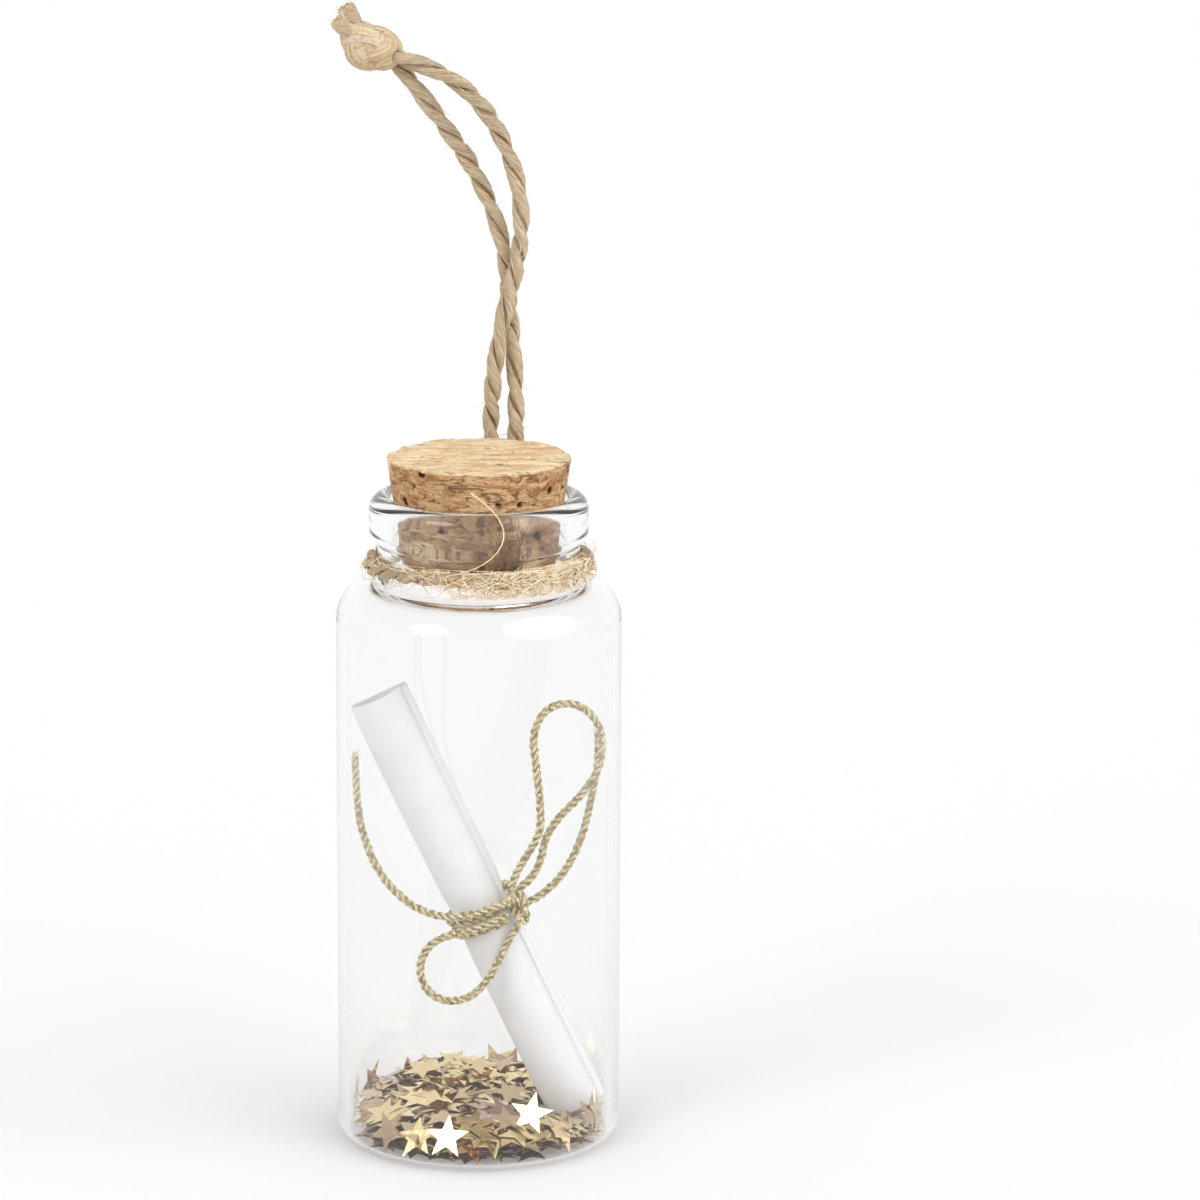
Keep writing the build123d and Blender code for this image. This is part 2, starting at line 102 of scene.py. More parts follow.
def length_setting(label, text, millimetres):
    """A length that a user may change. It is given in millimetres and kept in metres."""
    return FloatProperty(name=label, description=text, default=millimetres * MM, min=0, precision=5,
                         subtype="DISTANCE", unit="LENGTH")


def angle_setting(label, text, degrees):
    """An angle that a user may change, given in degrees."""
    return FloatProperty(name=label, description=text, default=math.radians(degrees), subtype="ANGLE")


def share_setting(label, text, share):
    """A plain number that a user may change."""
    return FloatProperty(name=label, description=text, default=share, min=0)


def count_setting(label, text, count):
    """A whole number that a user may change."""
    return IntProperty(name=label, description=text, default=count, min=0)


def colour_setting(label, text, red, green, blue):
    """A colour that a user may change."""
    return FloatVectorProperty(name=label, description=text, default=screen_colour(red, green, blue),
                               size=3, min=0, max=1, subtype="COLOR")


def node_size(node):
    """How wide, deep and tall a node of the frame is, in millimetres."""
    low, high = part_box(node)
    return [(b - a) / MM for a, b in zip(low, high)]


class GlassSettings(bpy.types.PropertyGroup):
    """Sizes and colours of the glass bottle."""
    body: length_setting("Body", "Outer diameter of the bottle", node_size("glass_bottle")[0])
    height: length_setting("Height", "Height to the top of the lip", node_size("glass_bottle")[2])
    wall: length_setting("Wall", "Thickness of the body's wall", 1.1)
    base: length_setting("Base", "Thickness of the base", 0.75)
    kick: length_setting("Kick", "Rise of the base's middle", 0.35)
    crown: length_setting("Crown", "Rise of the inner floor's middle", 0.2)
    heel: length_setting("Heel", "Radius of the outer heel", 2.3)
    rest_ring: length_setting("Rest ring", "Width of the ring that the bottle stands on", 3.4)
    shoulder: length_setting("Shoulder", "Radius of the shoulder", 4.2)
    shoulder_drop: length_setting("Shoulder drop", "From the lip's top down to the shoulder", 9.0)
    neck: length_setting("Neck", "Outer diameter of the neck", 21.3)
    neck_root: length_setting("Neck root", "Radius where the neck rises", 0.8)
    bore: length_setting("Bore", "Diameter of the bore", 18.4)
    bore_root: length_setting("Bore root", "Radius where the bore opens into the body", 2.0)
    lip: length_setting("Lip", "Outer diameter of the lip", 23.0)
    lip_height: length_setting("Lip height", "Height of the thickened lip", 5.0)
    lip_round: length_setting("Lip round", "Radius of the lip's outer rim", 1.5)
    mouth_round: length_setting("Mouth round", "Radius of the mouth's rim", 0.7)
    tint: colour_setting("Tint", "Colour of the glass", 252, 252, 252)
    # Edge is painted shade: the grey that the glass takes where it is seen edge on
    edge: colour_setting("Edge", "Colour that the glass takes where it is seen edge on", 247, 247, 246)
    shadow: colour_setting("Shadow", "Colour of the light that a face of the glass lets through",
                           247, 247, 247)


class CorkSettings(bpy.types.PropertyGroup):
    """Sizes and colours of the cork."""
    top: length_setting("Top", "Diameter of the top", node_size("cork_stopper")[0])
    taper: angle_setting("Taper", "Slope of the side", 8.75)
    chamfer: length_setting("Chamfer", "Radius of the worn rims", 0.35)
    chips: length_setting("Chips", "Depth of the chips in the top rim", 0.55)
    rim_worn: length_setting("Rim worn", "How far down the top rim is chipped", 0.6)
    pits: count_setting("Pits", "Number of pits", 240)
    pit_depth: length_setting("Pit depth", "Depth of the deepest pits", 0.55)
    grain: length_setting("Grain", "Height of the uneven grain", 0.09)
    pale: colour_setting("Pale", "Pale streaks of the top", 240, 218, 180)
    middle: colour_setting("Middle", "Usual colour of the cork", 212, 174, 128)
    dark: colour_setting("Dark", "Darker grains", 160, 112, 72)
    deep: colour_setting("Deep", "Darkest grains and veins", 112, 70, 42)
    # Held is painted shade on the cork below the lip's top, inside the neck
    held: colour_setting("Held", "Duller cork below the lip", 122, 92, 68)
    # Pit is partly the pits' own dark lining and partly painted shade in the hollows
    pit: colour_setting("Pit", "Inside of the pits", 60, 32, 18)


class TwineSettings(bpy.types.PropertyGroup):
    """Sizes and colours of the jute twine."""
    thickness: length_setting("Thickness", "Diameter of the twine", 1.8)
    lay: length_setting("Lay", "Length of one full turn of the two yarns", 7.7)
    turn_height: length_setting("Turn height", "Height of the turn round the neck", 62.7)
    front_rise: length_setting("Front rise", "How much higher the turn runs at the front", 0.45)
    turn_radius: length_setting("Turn radius", "Radius of the turn round the neck", 11.42)
    neck_clear: length_setting("Neck clear", "Radius at which fibres lie against the neck", 10.85)
    lip_clear: length_setting("Lip clear", "Radius at which fibres lie against the lip", 11.75)
    lip_foot: length_setting("Lip foot", "Height of the lip's lower edge", 64.8)
    neck_thickness: length_setting("Neck thickness", "Diameter of the twine round the neck", 1.44)
    knotted: length_setting("Knotted", "Diameter of the doubled twine in the top knot", 3.2)
    knot_tilt: angle_setting("Knot tilt", "Rise of the top knot's left end", 24)
    cut_thickness: length_setting("Cut thickness", "Diameter of the twine at its cut ends", 1.9)
    cut_lay: length_setting("Cut lay", "Length of one full turn of the yarns at the cut ends", 8.5)
    frayed: count_setting("Frayed", "Loose fibres on each cut end", 110)
    neck_hairs: count_setting("Neck hairs", "Loose fibres on the turn round the neck", 260)
    risers: count_setting("Risers", "Shaded fibres that stand up against the neck", 64)
    mat_inside: length_setting("Mat inside", "How far inside the turn the mat reaches", 0.5)
    mat_outside: length_setting("Mat outside", "How far outside the turn the mat reaches", 0.9)
    mat_foot: length_setting("Mat foot", "Height of the mat's lower edge", 61.5)
    mat_top: length_setting("Mat top", "Height of the mat's upper edge", 64.2)
    fuzz: count_setting("Fuzz", "Loose fibres matted over the turn round the neck", 760)
    hairs: count_setting("Hairs", "Loose fibres to each centimetre of twine", 18)
    hair_thickness: length_setting("Hair thickness", "Diameter of a loose fibre", 0.07)
    mat_thickness: length_setting("Mat thickness", "Diameter of a matted fibre", 0.105)
    long_thickness: length_setting("Long thickness", "Diameter of the long fibre at the lip", 0.2)
    pale: colour_setting("Pale", "Sunlit fibres", 255, 244, 218)
    middle: colour_setting("Middle", "Usual colour of the fibres", 240, 210, 166)
    dark: colour_setting("Dark", "Darker fibres", 200, 162, 118)
    groove: colour_setting("Groove", "Shaded groove between the yarns", 156, 114, 76)
    shaded: colour_setting("Shaded", "Fibres in the shade of the lip", 104, 74, 50)


class MessageSettings(bpy.types.PropertyGroup):
    """Sizes and colours of the paper message."""
    roll: length_setting("Roll", "Outer diameter of the roll", 6.65)
    length: length_setting("Length", "Length of the roll", 49.5)
    turns: share_setting("Turns", "How many times the sheet goes round", 4.6)
    pitch: length_setting("Pitch", "From one layer of the roll to the next", 0.15)
    paper: length_setting("Paper", "Thickness of the sheet", 0.09)
    waist: share_setting("Waist", "How much the tie draws the roll in", 0.07)
    waist_reach: length_setting("Waist reach", "How far from the tie the roll is drawn in", 2.4)
    edge_foot: angle_setting("Edge at foot", "Where the sheet's edge lies below, from right to front", 31)
    edge_top: angle_setting("Edge at top", "Where the sheet's edge lies above, from right to front", 28)
    edge_press: length_setting("Edge press", "How far the sheet's edge is pressed into the roll", 0.06)
    edge_shadow_width: length_setting("Crease width", "Width of the soft shadow beside the sheet's edge", 0.5)
    slant: length_setting("Slant", "How much lower the back of the roll's mouth is", 0.65)
    white: colour_setting("White", "Colour of the paper", 245, 245, 246)
    shade: colour_setting("Shade", "Faint mottle of the paper", 240, 240, 242)
    crease: colour_setting("Crease", "Paper in the soft shadow beside the sheet's edge", 226, 225, 230)


class CordSettings(bpy.types.PropertyGroup):
    """Sizes and colours of the gold cord."""
    thickness: length_setting("Thickness", "Diameter of the cord", 0.9)
    lay: length_setting("Lay", "Length of one full turn of the three strands", 2.5)
    tie_height: length_setting("Tie height", "How far up the roll the tie lies", 22.15)
    tie_pitch: length_setting("Tie pitch", "From one turn of the tie to the next", 1.45)
    tie_radius: length_setting("Tie radius", "Radius of the turns round the message", 3.62)
    tie_turns: share_setting("Tie turns", "How many times the cord goes round the message", 1.9)
    tie_start: angle_setting("Tie start", "Where the turns start, from the right towards the front", 48)
    knot_size: length_setting("Knot size", "Reach of the knot's curve", 0.62)
    splayed: count_setting("Splayed", "Loose threads at each cut end", 22)
    thread: length_setting("Thread", "Diameter of a loose thread", 0.09)
    gold: colour_setting("Gold", "Colour of the metal thread", 252, 233, 160)
    # Pale is a painted highlight and dark a painted shade on the metal thread
    pale: colour_setting("Pale", "Bright threads", 255, 253, 238)
    dark: colour_setting("Dark", "Thread in the gaps", 172, 142, 76)


class ConfettiSettings(bpy.types.PropertyGroup):
    """Sizes and colours of the star confetti."""
    star: length_setting("Star", "From a point to the far side", 4.8)
    notch: share_setting("Notch", "Inner radius as a share of the outer", 0.42)
    foil: length_setting("Foil", "Thickness of the foil", 0.06)
    front: length_setting("Front", "Depth of the heap at the front", 1.2)
    back: length_setting("Back", "Depth of the heap at the back", 3.0)
    side: length_setting("Side", "How much deeper the heap is at both ends", 0.5)
    most: count_setting("Most", "Most stars in the heap", 560)
    seed: count_setting("Seed", "Start of the random draws", 11)
    gold: colour_setting("Gold", "Usual colour of the foil", 222, 202, 154)
    # Rose is painted shade: a duller, redder tone on some stars and on the stars under the heap
    rose_shade: colour_setting("Rose", "Duller, redder side of the foil", 168, 140, 124)
    amber: colour_setting("Amber", "Deeper colour of a few stars", 206, 158, 92)


class StageSettings(bpy.types.PropertyGroup):
    """The camera, the lamps and the floor."""
    camera_place: FloatVectorProperty(
        name="Camera", description="Where the camera stands", subtype="TRANSLATION", unit="LENGTH", size=3,
        default=(0.01192, -0.60385, 0.20108), precision=5)
    pitch: angle_setting("Pitch", "How far the camera looks down", 13.27)
    yaw: angle_setting("Yaw", "How far the camera looks to the right", 0.0745)
    roll: angle_setting("Roll", "How far the camera leans", 0.32)
    lens: FloatProperty(name="Lens", description="Focal length in millimetres", default=177.36, min=1)
    floor: length_setting("Floor", "Width of the floor", 6000)
    floor_colour: colour_setting("Floor colour", "Colour of the floor", 231, 231, 231)
    daylight: share_setting("Daylight", "Strength of the light from all round", 0.72)
    key: share_setting("Key", "Strength of the lamp at the front left", 0.95)
    key_width: angle_setting("Key width", "How wide the lamp at the front left looks", 30)
    fill: share_setting("Fill", "Strength of the lamp at the front right", 1.45)
    fill_width: angle_setting("Fill width", "How wide the lamp at the front right looks", 60)
    lift: share_setting("Lift", "Brings the unshaded floor up to white where it is seen", 0.067)


class Value:
    """A number in a shader, so that expressions on it add the nodes they need."""

    def __init__(self, finish, socket):
        self.finish = finish
        self.socket = socket

    def math(self, operation, first, second=0.0):
        return self.finish.node("ShaderNodeMath", {"operation": operation}, {0: first, 1: second})

    def __add__(self, other):
        return self.math("ADD", self, other)

    __radd__ = __add__

    def __mul__(self, other):
        return self.math("MULTIPLY", self, other)

    __rmul__ = __mul__

    def __sub__(self, other):
        return self.math("SUBTRACT", self, other)

    def __rsub__(self, other):
        return self.math("SUBTRACT", other, self)

    def __pow__(self, other):
        return self.math("POWER", self, other)

    def at_most(self, other):
        return self.math("MINIMUM", self, other)

    def at_least(self, other):
        return self.math("MAXIMUM", self, other)


class Finish:
    """A material's node tree and the calls that add to it."""

    def __init__(self, name, tree=None):
        if tree is None:
            self.material = bpy.data.materials.new(name)
            self.material.use_nodes = True
            tree = self.material.node_tree
        self.tree = tree
        self.tree.nodes.clear()

    def node(self, kind, settings=None, inputs=None, output=0):
        """Adds a node: its settings first, then its sockets' values or links. Gives one output."""
        made = self.tree.nodes.new(kind)
        for key, setting in (settings or {}).items():
            if key == "stops":
                self.set_stops(made.color_ramp, setting)
            else:
                setattr(made, key, setting)
        for key, value in (inputs or {}).items():
            if isinstance(value, Value):
                self.tree.links.new(value.socket, made.inputs[key])
            else:
                made.inputs[key].default_value = value
        return Value(self, made.outputs[output]) if len(made.outputs) else None

    def set_stops(self, ramp, stops):
        """Gives a colour ramp its stops, each a place and a grey level."""
        while len(ramp.elements) < len(stops):
            ramp.elements.new(1.0)
        for element, (place, level) in zip(ramp.elements, stops):
            element.position = place
            element.color = (level, level, level, 1)

    def place(self, stretch=(1, 1, 1), turn=(0, 0, 0)):
        """Object coordinates, stretched and turned."""
        coordinates = self.node("ShaderNodeTexCoord", output="Object")
        return self.node("ShaderNodeMapping",
                         inputs={"Vector": coordinates, "Rotation": turn, "Scale": stretch})

    def attribute(self, name, output="Fac"):
        """A value that the mesh carries."""
        return self.node("ShaderNodeAttribute", {"attribute_name": name}, output=output)

    def stretched(self, name, stretch):
        """A vector that the mesh carries, stretched."""
        return self.node("ShaderNodeMapping",
                         inputs={"Vector": self.attribute(name, "Vector"), "Scale": stretch})

    def noise(self, vector, scale, detail=3.0, roughness=0.5, distortion=0.0):
        return self.node("ShaderNodeTexNoise", inputs={"Vector": vector, "Scale": scale, "Detail": detail,
                                                       "Roughness": roughness, "Distortion": distortion})

    def ramp(self, value, *stops):
        """A value taken through a ramp of grey levels."""
        return self.node("ShaderNodeValToRGB", {"stops": stops}, {"Fac": value})

    def mix(self, share, first, second):
        """Two colours mixed by a share."""
        first, second = (c if isinstance(c, Value) else (*c, 1) for c in (first, second))
        return self.node("ShaderNodeMix", {"data_type": "RGBA"}, {0: share, 6: first, 7: second}, output=2)

    def bump(self, height, depth, strength=1.0):
        return self.node("ShaderNodeBump", inputs={"Height": height, "Distance": depth, "Strength": strength})

    def surface(self, **inputs):
        """A Principled shader on the output. Underscores in the names stand for spaces."""
        sockets = {name.replace("_", " "): value for name, value in inputs.items()}
        for name, value in sockets.items():
            if name.endswith("Color") and not isinstance(value, Value):
                sockets[name] = (*value, 1)
        shader = self.node("ShaderNodeBsdfPrincipled", inputs=sockets)
        self.node("ShaderNodeOutputMaterial", inputs={"Surface": shader})
        return self.material


def glass_finish():
    """Clear glass that lamps and daylight pass through, with painted shade that greys it a little where it is
    seen edge on.
    Light that has turned many times inside it goes straight on, so that the lip stays clear."""
    settings = bpy.context.scene.bottle_glass
    finish = Finish("clear_glass")
    clear, edge = (
        finish.node("ShaderNodeBsdfPrincipled", inputs={
            "Base Color": (*colour, 1), "Roughness": 0.0, "IOR": 1.5, "Transmission Weight": 1.0})
        for colour in (settings.tint, settings.edge))
    # Painted shade: the glass greys towards its edges as it turns away from the view
    facing = finish.node("ShaderNodeLayerWeight", inputs={"Blend": 0.5}, output="Facing")
    glass = finish.node("ShaderNodeMixShader", inputs={0: facing ** 4.0, 1: clear, 2: edge})
    shadow = finish.node("ShaderNodeLightPath", output="Is Shadow Ray")
    diffuse = finish.node("ShaderNodeLightPath", output="Is Diffuse Ray")
    passing = finish.node("ShaderNodeBsdfTransparent", inputs={"Color": (*settings.shadow, 1)})
    deep = finish.node("ShaderNodeLightPath", output="Ray Depth") - 5
    straight = shadow.at_least(diffuse).at_least(deep).at_most(1.0)
    lit = finish.node("ShaderNodeMixShader", inputs={0: straight, 1: glass, 2: passing})
    finish.node("ShaderNodeOutputMaterial", inputs={"Surface": lit})
    return finish.material


def cork_finish():
    """Natural cork: pale streaks along its top, mottled grains on its side, dark pits whose darkness is
    partly painted shade, and painted shade below the lip's top.
    """
    settings = bpy.context.scene.bottle_cork
    finish = Finish("cork")
    streak = finish.noise(finish.place((0.2, 1.0, 0.9)), 800, 5, 0.65, 0.8)
    flake = finish.noise(finish.place((0.4, 0.5, 1.5), (0.06, 0.1, 0.2)), 480, 5, 0.62, 1.6)
    patch = finish.noise(finish.place((0.6, 0.6, 1.2), (0.1, -0.15, 0.7)), 240, 3, 0.5, 0.8)
    speck = finish.noise(finish.place(), 2400, 2, 0.5)
    top = finish.attribute("top")
    pit = finish.attribute("pit")
    on_top = finish.mix(finish.ramp(streak, (0.34, 0), (0.6, 1)), settings.middle, settings.pale)
    on_side = finish.mix(finish.ramp(flake, (0.38, 0), (0.6, 1)), settings.dark, settings.middle)
    on_side = finish.mix(finish.ramp(patch, (0.52, 0), (0.62, 1)) * 0.85, on_side, settings.pale)
    body = finish.mix(top, on_side, on_top)
    veins = finish.ramp(finish.noise(finish.place((0.4, 0.8, 1.4)), 1000, 4, 0.6, 2.0), (0.55, 0), (0.64, 1))
    body = finish.mix(veins * (0.8 - top * 0.6), body, settings.deep)
    body = finish.mix(finish.ramp(speck, (0.6, 0), (0.72, 1)) * 0.45, body, settings.deep)
    # Painted shade on the cork inside the neck, below the lip's top
    neck_shade = finish.attribute("held") * (0.2 + finish.ramp(patch, (0.4, 0.35), (0.56, 0)))
    body = finish.mix(neck_shade, body, settings.held)
    # The pits' dark lining: partly the cork's own colour, partly painted shade in the hollows
    hollow = finish.ramp(pit * 1.15 + speck * 0.5 - 0.25, (0.15, 0), (0.55, 1))
    colour = finish.mix(hollow, body, settings.pit)
    normal = finish.bump(flake * 0.8 + streak * 0.4 + speck * 0.4 - veins * 0.5, 0.0003, 0.8)
    return finish.surface(Base_Color=colour, Roughness=0.85, Specular_IOR_Level=0.2, Normal=normal)


def jute_finish(name="jute_twine", speckle=0.15):
    """Jute yarn: long fibres along the yarn in pale and brown streaks, with painted shade where two yarns
    meet.
    """
    settings = bpy.context.scene.bottle_twine
    finish = Finish(name)
    fibre = finish.noise(finish.stretched("fibre", (1.0, 1.0, 0.07)), 3.4, 5, 0.75, 0.3)
    patch = finish.noise(finish.stretched("fibre", (0.5, 0.5, 0.12)), 2.2, 3, 0.5)
    fine = finish.noise(finish.stretched("fibre", (1.0, 1.0, 0.04)), 13.0, 3, 0.6)
    speck = finish.noise(finish.place(), 2600, 2, 0.6)
    body = finish.mix(finish.ramp(fibre, (0.4, 0), (0.6, 1)), settings.dark, settings.pale)
    body = finish.mix(finish.ramp(patch, (0.35, 0.1), (0.65, 0.6)), body, settings.middle)
    body = finish.mix(finish.ramp(fine, (0.54, 0), (0.66, 1)) * 0.6, body, settings.pale)
    body = finish.mix(finish.ramp(fine, (0.34, 1), (0.44, 0)) * 0.55, body, settings.groove)
    body = finish.mix(finish.ramp(speck, (0.56, 0), (0.68, 1)) * speckle, body, settings.groove)
    # Painted shade in the groove where the two yarns meet, broken up along the fibres
    gap = finish.ramp(finish.attribute("groove") + (fibre - 0.5) * 1.6, (0.3, 0), (0.9, 1))
    gap = gap * finish.ramp(patch, (0.38, 0.3), (0.58, 1))
    colour = finish.mix(gap, body, settings.groove)
    normal = finish.bump(fibre * 0.9 + fine * 0.8, 0.0003, 1.0)
    return finish.surface(Base_Color=colour, Roughness=0.8, Specular_IOR_Level=0.25, Normal=normal)


def hair_finish():
    """Loose jute fibres, pale, and darker where the mesh says that they are in the shade."""
    settings = bpy.context.scene.bottle_twine
    finish = Finish("jute_fibres")
    tone = finish.noise(finish.place(), 700, 2, 0.5)
    colour = finish.mix(finish.ramp(tone, (0.36, 0), (0.6, 1)), settings.middle, settings.pale)
    colour = finish.mix(finish.attribute("shade"), colour, settings.shaded)
    return finish.surface(Base_Color=colour, Roughness=0.6, Specular_IOR_Level=0.3)


def paper_finish():
    """Plain white paper with a faint fibrous mottle, and a painted soft shadow beside the sheet's edge."""
    settings = bpy.context.scene.bottle_message
    finish = Finish("paper")
    mottle = finish.noise(finish.place(), 500, 4, 0.6)
    tooth = finish.noise(finish.place(), 4200, 2, 0.5)
    colour = finish.mix(finish.ramp(mottle, (0.3, 0), (0.7, 1)), settings.shade, settings.white)
    # Painted soft shadow on the paper beside the sheet's outer edge
    colour = finish.mix(finish.attribute("crease"), colour, settings.crease)
    normal = finish.bump(tooth, 0.00002, 0.25)
    return finish.surface(Base_Color=colour, Roughness=0.75, Specular_IOR_Level=0.25, Normal=normal)


def gold_cord_finish():
    """Metal thread laid in strands, with painted highlights that brighten it on the crowns, and painted shade
    that darkens it in the gaps and in small flecks.
    """
    settings = bpy.context.scene.bottle_cord
    finish = Finish("gold_cord")
    thread = finish.noise(finish.stretched("fibre", (1.0, 1.0, 0.35)), 4.0, 2, 0.5)
    wrap = finish.noise(finish.stretched("fibre", (0.3, 0.3, 1.4)), 3.2, 2, 0.5)
    # Painted highlights: some threads are made paler
    lit = finish.ramp(thread * 0.5 + wrap * 0.5, (0.42, 0), (0.58, 1))
    body = finish.mix(lit, settings.gold, settings.pale)
    # Painted shade in small dark flecks
    fleck = finish.noise(finish.place(), 2100, 1, 0.5)
    body = finish.mix(finish.ramp(fleck, (0.38, 0.75), (0.48, 0)), body, settings.dark)
    # Painted shade in the gaps between the strands
    colour = finish.mix(finish.attribute("groove"), body, settings.dark)
    rough = 0.16 + thread * 0.16
    normal = finish.bump(thread + wrap + fleck, 0.00018, 1.0)
    return finish.surface(Base_Color=colour, Metallic=0.8, Roughness=rough, Normal=normal)


def foil_finish():
    """Metallised film, each star a slightly different gold, with faint scuffs; a duller rose on some stars is
    painted shade.
    """
    settings = bpy.context.scene.bottle_confetti
    finish = Finish("gold_foil")
    tone = finish.attribute("tone")
    scuff = finish.noise(finish.place(), 1500, 3, 0.6)
    # Painted shade: stars turn duller and redder by their tone
    varied = finish.mix(finish.ramp(tone, (0.15, 0), (0.8, 1)), settings.gold, settings.rose_shade)
    colour = finish.mix(finish.ramp(tone, (0.9, 0), (0.94, 1)), varied, settings.amber)
    rough = 0.12 + finish.ramp(scuff, (0.45, 0), (0.7, 1)) * 0.16
    normal = finish.bump(finish.noise(finish.place(), 260, 2, 0.5), 0.00012, 0.35)
    return finish.surface(Base_Color=colour, Metallic=1.0, Roughness=rough, Normal=normal)


def unit(vectors):
    """Vectors brought to length one."""
    return vectors / np.maximum(np.linalg.norm(vectors, axis=-1, keepdims=True), 1e-12)


def spline_line(points):
    """The smooth line that a cord's control points give, in metres."""
    curve = bpy.data.curves.new("line", "CURVE")
    curve.dimensions = "3D"
    curve.resolution_u = 24
    spline = curve.splines.new("NURBS")
    spline.points.add(len(points) - 1)
    for target, point in zip(spline.points, points):
        target.co = (*(c * MM for c in point), 1)
    spline.order_u = 3
    spline.use_endpoint_u = True
    holder = bpy.data.objects.new("line", curve)
    mesh = bpy.data.meshes.new_from_object(holder)
    line = np.array([v.co[:] for v in mesh.vertices])
    bpy.data.meshes.remove(mesh)
    bpy.data.objects.remove(holder)
    bpy.data.curves.remove(curve)
    return line


class Line:
    """A centre line with points a steady step apart and a frame at each that doesn't twist."""

    def __init__(self, points, step):
        points = np.asarray(points, float)
        gaps = np.linalg.norm(np.diff(points, axis=0), axis=1)
        keep = np.concatenate(([True], gaps > 1e-9))
        points = points[keep]
        along = np.concatenate(([0.0], np.cumsum(gaps[keep[1:]])))
        self.length = along[-1]
        self.along = np.linspace(0, self.length, max(int(self.length / step), 4) + 1)
        self.at = np.stack([np.interp(self.along, along, points[:, i]) for i in range(3)], 1)
        self.way = unit(np.gradient(self.at, axis=0))
        first = np.cross(self.way[0], (0.31, 0.87, 0.38))
        sides = [first / np.linalg.norm(first)]
        for way in self.way[1:]:
            side = sides[-1] - way * sides[-1].dot(way)
            sides.append(side / np.linalg.norm(side))
        self.side = np.array(sides)
        self.up = np.cross(self.way, self.side)

    def read(self, table, along):
        """A table's rows at distances along the line."""
        return np.stack([np.interp(along, self.along, table[:, i]) for i in range(3)], -1)

    def around(self, along, angle, radius):
        """Points at distances along the line, turned about it by an angle, a radius away."""
        side, up = (unit(self.read(t, along)) for t in (self.side, self.up))
        reach = np.cos(angle)[..., None] * side + np.sin(angle)[..., None] * up
        return self.read(self.at, along) + np.asarray(radius)[..., None] * reach


def new_piece(name, mesh, body, finish, replaced=()):
    """A finished piece: it rides on a body, stands for its solids and has its material."""
    piece = bpy.data.objects.new(name, mesh)
    mesh.name = name
    bpy.context.scene.collection.objects.link(piece)
    mesh.materials.clear()
    mesh.materials.append(finish)
    mesh.polygons.foreach_set("use_smooth", [True] * len(mesh.polygons))
    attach(piece, body)
    if replaced:
        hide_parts(*replaced)
    return piece


def bent_grid(rows, around, shape, close=True, values=None):
    """A flat grid bent into a tube or sheet. shape gives a point for each share along and around."""
    shell = bmesh.new()
    shell.loops.layers.uv.new("UVMap")
    bmesh.ops.create_grid(shell, x_segments=rows, y_segments=around, size=0.5, calc_uvs=True)
    mesh = bpy.data.meshes.new("grid")
    shell.to_mesh(mesh)
    shell.free()
    flat = np.empty(len(mesh.vertices) * 3)
    mesh.vertices.foreach_get("co", flat)
    along, turn = flat.reshape(-1, 3)[:, 0] + 0.5, flat.reshape(-1, 3)[:, 1] + 0.5
    mesh.vertices.foreach_set("co", shape(along, turn).ravel())
    for name, give in (values or {}).items():
        set_values(mesh, name, give(along, turn))
    if close:
        weld(mesh)
    return mesh


def set_values(mesh, name, values):
    """Numbers or vectors that the mesh carries for its material, one for each vertex."""
    kind, field = ("FLOAT", "value") if values.ndim == 1 else ("FLOAT_VECTOR", "vector")
    layer = mesh.attributes.new(name, kind, "POINT")
    layer.data.foreach_set(field, np.ascontiguousarray(values, np.float32).ravel())


def weld(mesh, gap=1e-7):
    """Merges points that lie together, and turns the faces outwards."""
    shell = bmesh.new()
    shell.from_mesh(mesh)
    bmesh.ops.remove_doubles(shell, verts=shell.verts, dist=gap)
    bmesh.ops.recalc_face_normals(shell, faces=shell.faces)
    shell.to_mesh(mesh)
    shell.free()


def joined(meshes):
    """Several meshes as one, which keeps what they carry."""
    whole = bmesh.new()
    for mesh in meshes:
        whole.from_mesh(mesh)
    result = meshes[0]
    whole.to_mesh(result)
    whole.free()
    for mesh in meshes[1:]:
        bpy.data.meshes.remove(mesh)
    return result


def ripple(x, y, z, seed=0.0):
    """A smooth uneven value from about -1 to 1."""
    return (np.sin(x * 1.7 + y * 2.3 + z * 1.1 + seed) + np.sin(x * 3.1 - y * 1.3 + z * 2.7 + seed * 2.1)
            + np.sin(y * 4.3 + z * 3.7 - x * 2.2 + seed * 0.7)) / 3


def yarn(line, radius, turn_at, offset, seed, around, flat, groove_share, ridges=0.0):
    """One yarn of a twine or strand of a cord. It winds about the line, pressed flat against the next one."""
    whole = offset + radius

    def section(along, turn):
        """How far a point of the yarn lies out from the line and to the side."""
        angle = turn * FULL_TURN
        at = along * line.length
        near = np.clip(np.minimum(at, line.length - at) / (radius * 0.8), 0, 1)
        bumps = ripple(np.cos(angle) * 2.4, np.sin(angle) * 2.4, at / (radius * 5), seed)
        swell = ripple(at * 0, at * 0, at / (radius * 8), seed * 3)
        ridge = np.sin(angle * 7 - at / radius * 0.8 + bumps * 2) * ridges
        thick = radius * np.sqrt(near * (2 - near)) * (1 + bumps * 0.1 + swell * 0.09 + ridge)
        return offset + thick * np.cos(angle), thick * flat * np.sin(angle)

    def shape(along, turn):
        out, aside = section(along, turn)
        at = along * line.length
        return line.around(at, turn_at(at) + np.arctan2(aside, out), np.hypot(out, aside))

    def fibre(along, turn):
        at = along * line.length / radius
        angle = turn * FULL_TURN + at * 0.12
        return np.stack([np.cos(angle), np.sin(angle) + seed * 3, at], 1)

    # How deep a point lies in the groove beside the next yarn or strand; the finishes paint shade there
    def groove(along, turn):
        deep, width = groove_share
        return np.clip((deep - np.hypot(*section(along, turn)) / whole) / width, 0, 1)

    return bent_grid(len(line.along) - 1, around, shape, values={"fibre": fibre, "groove": groove})


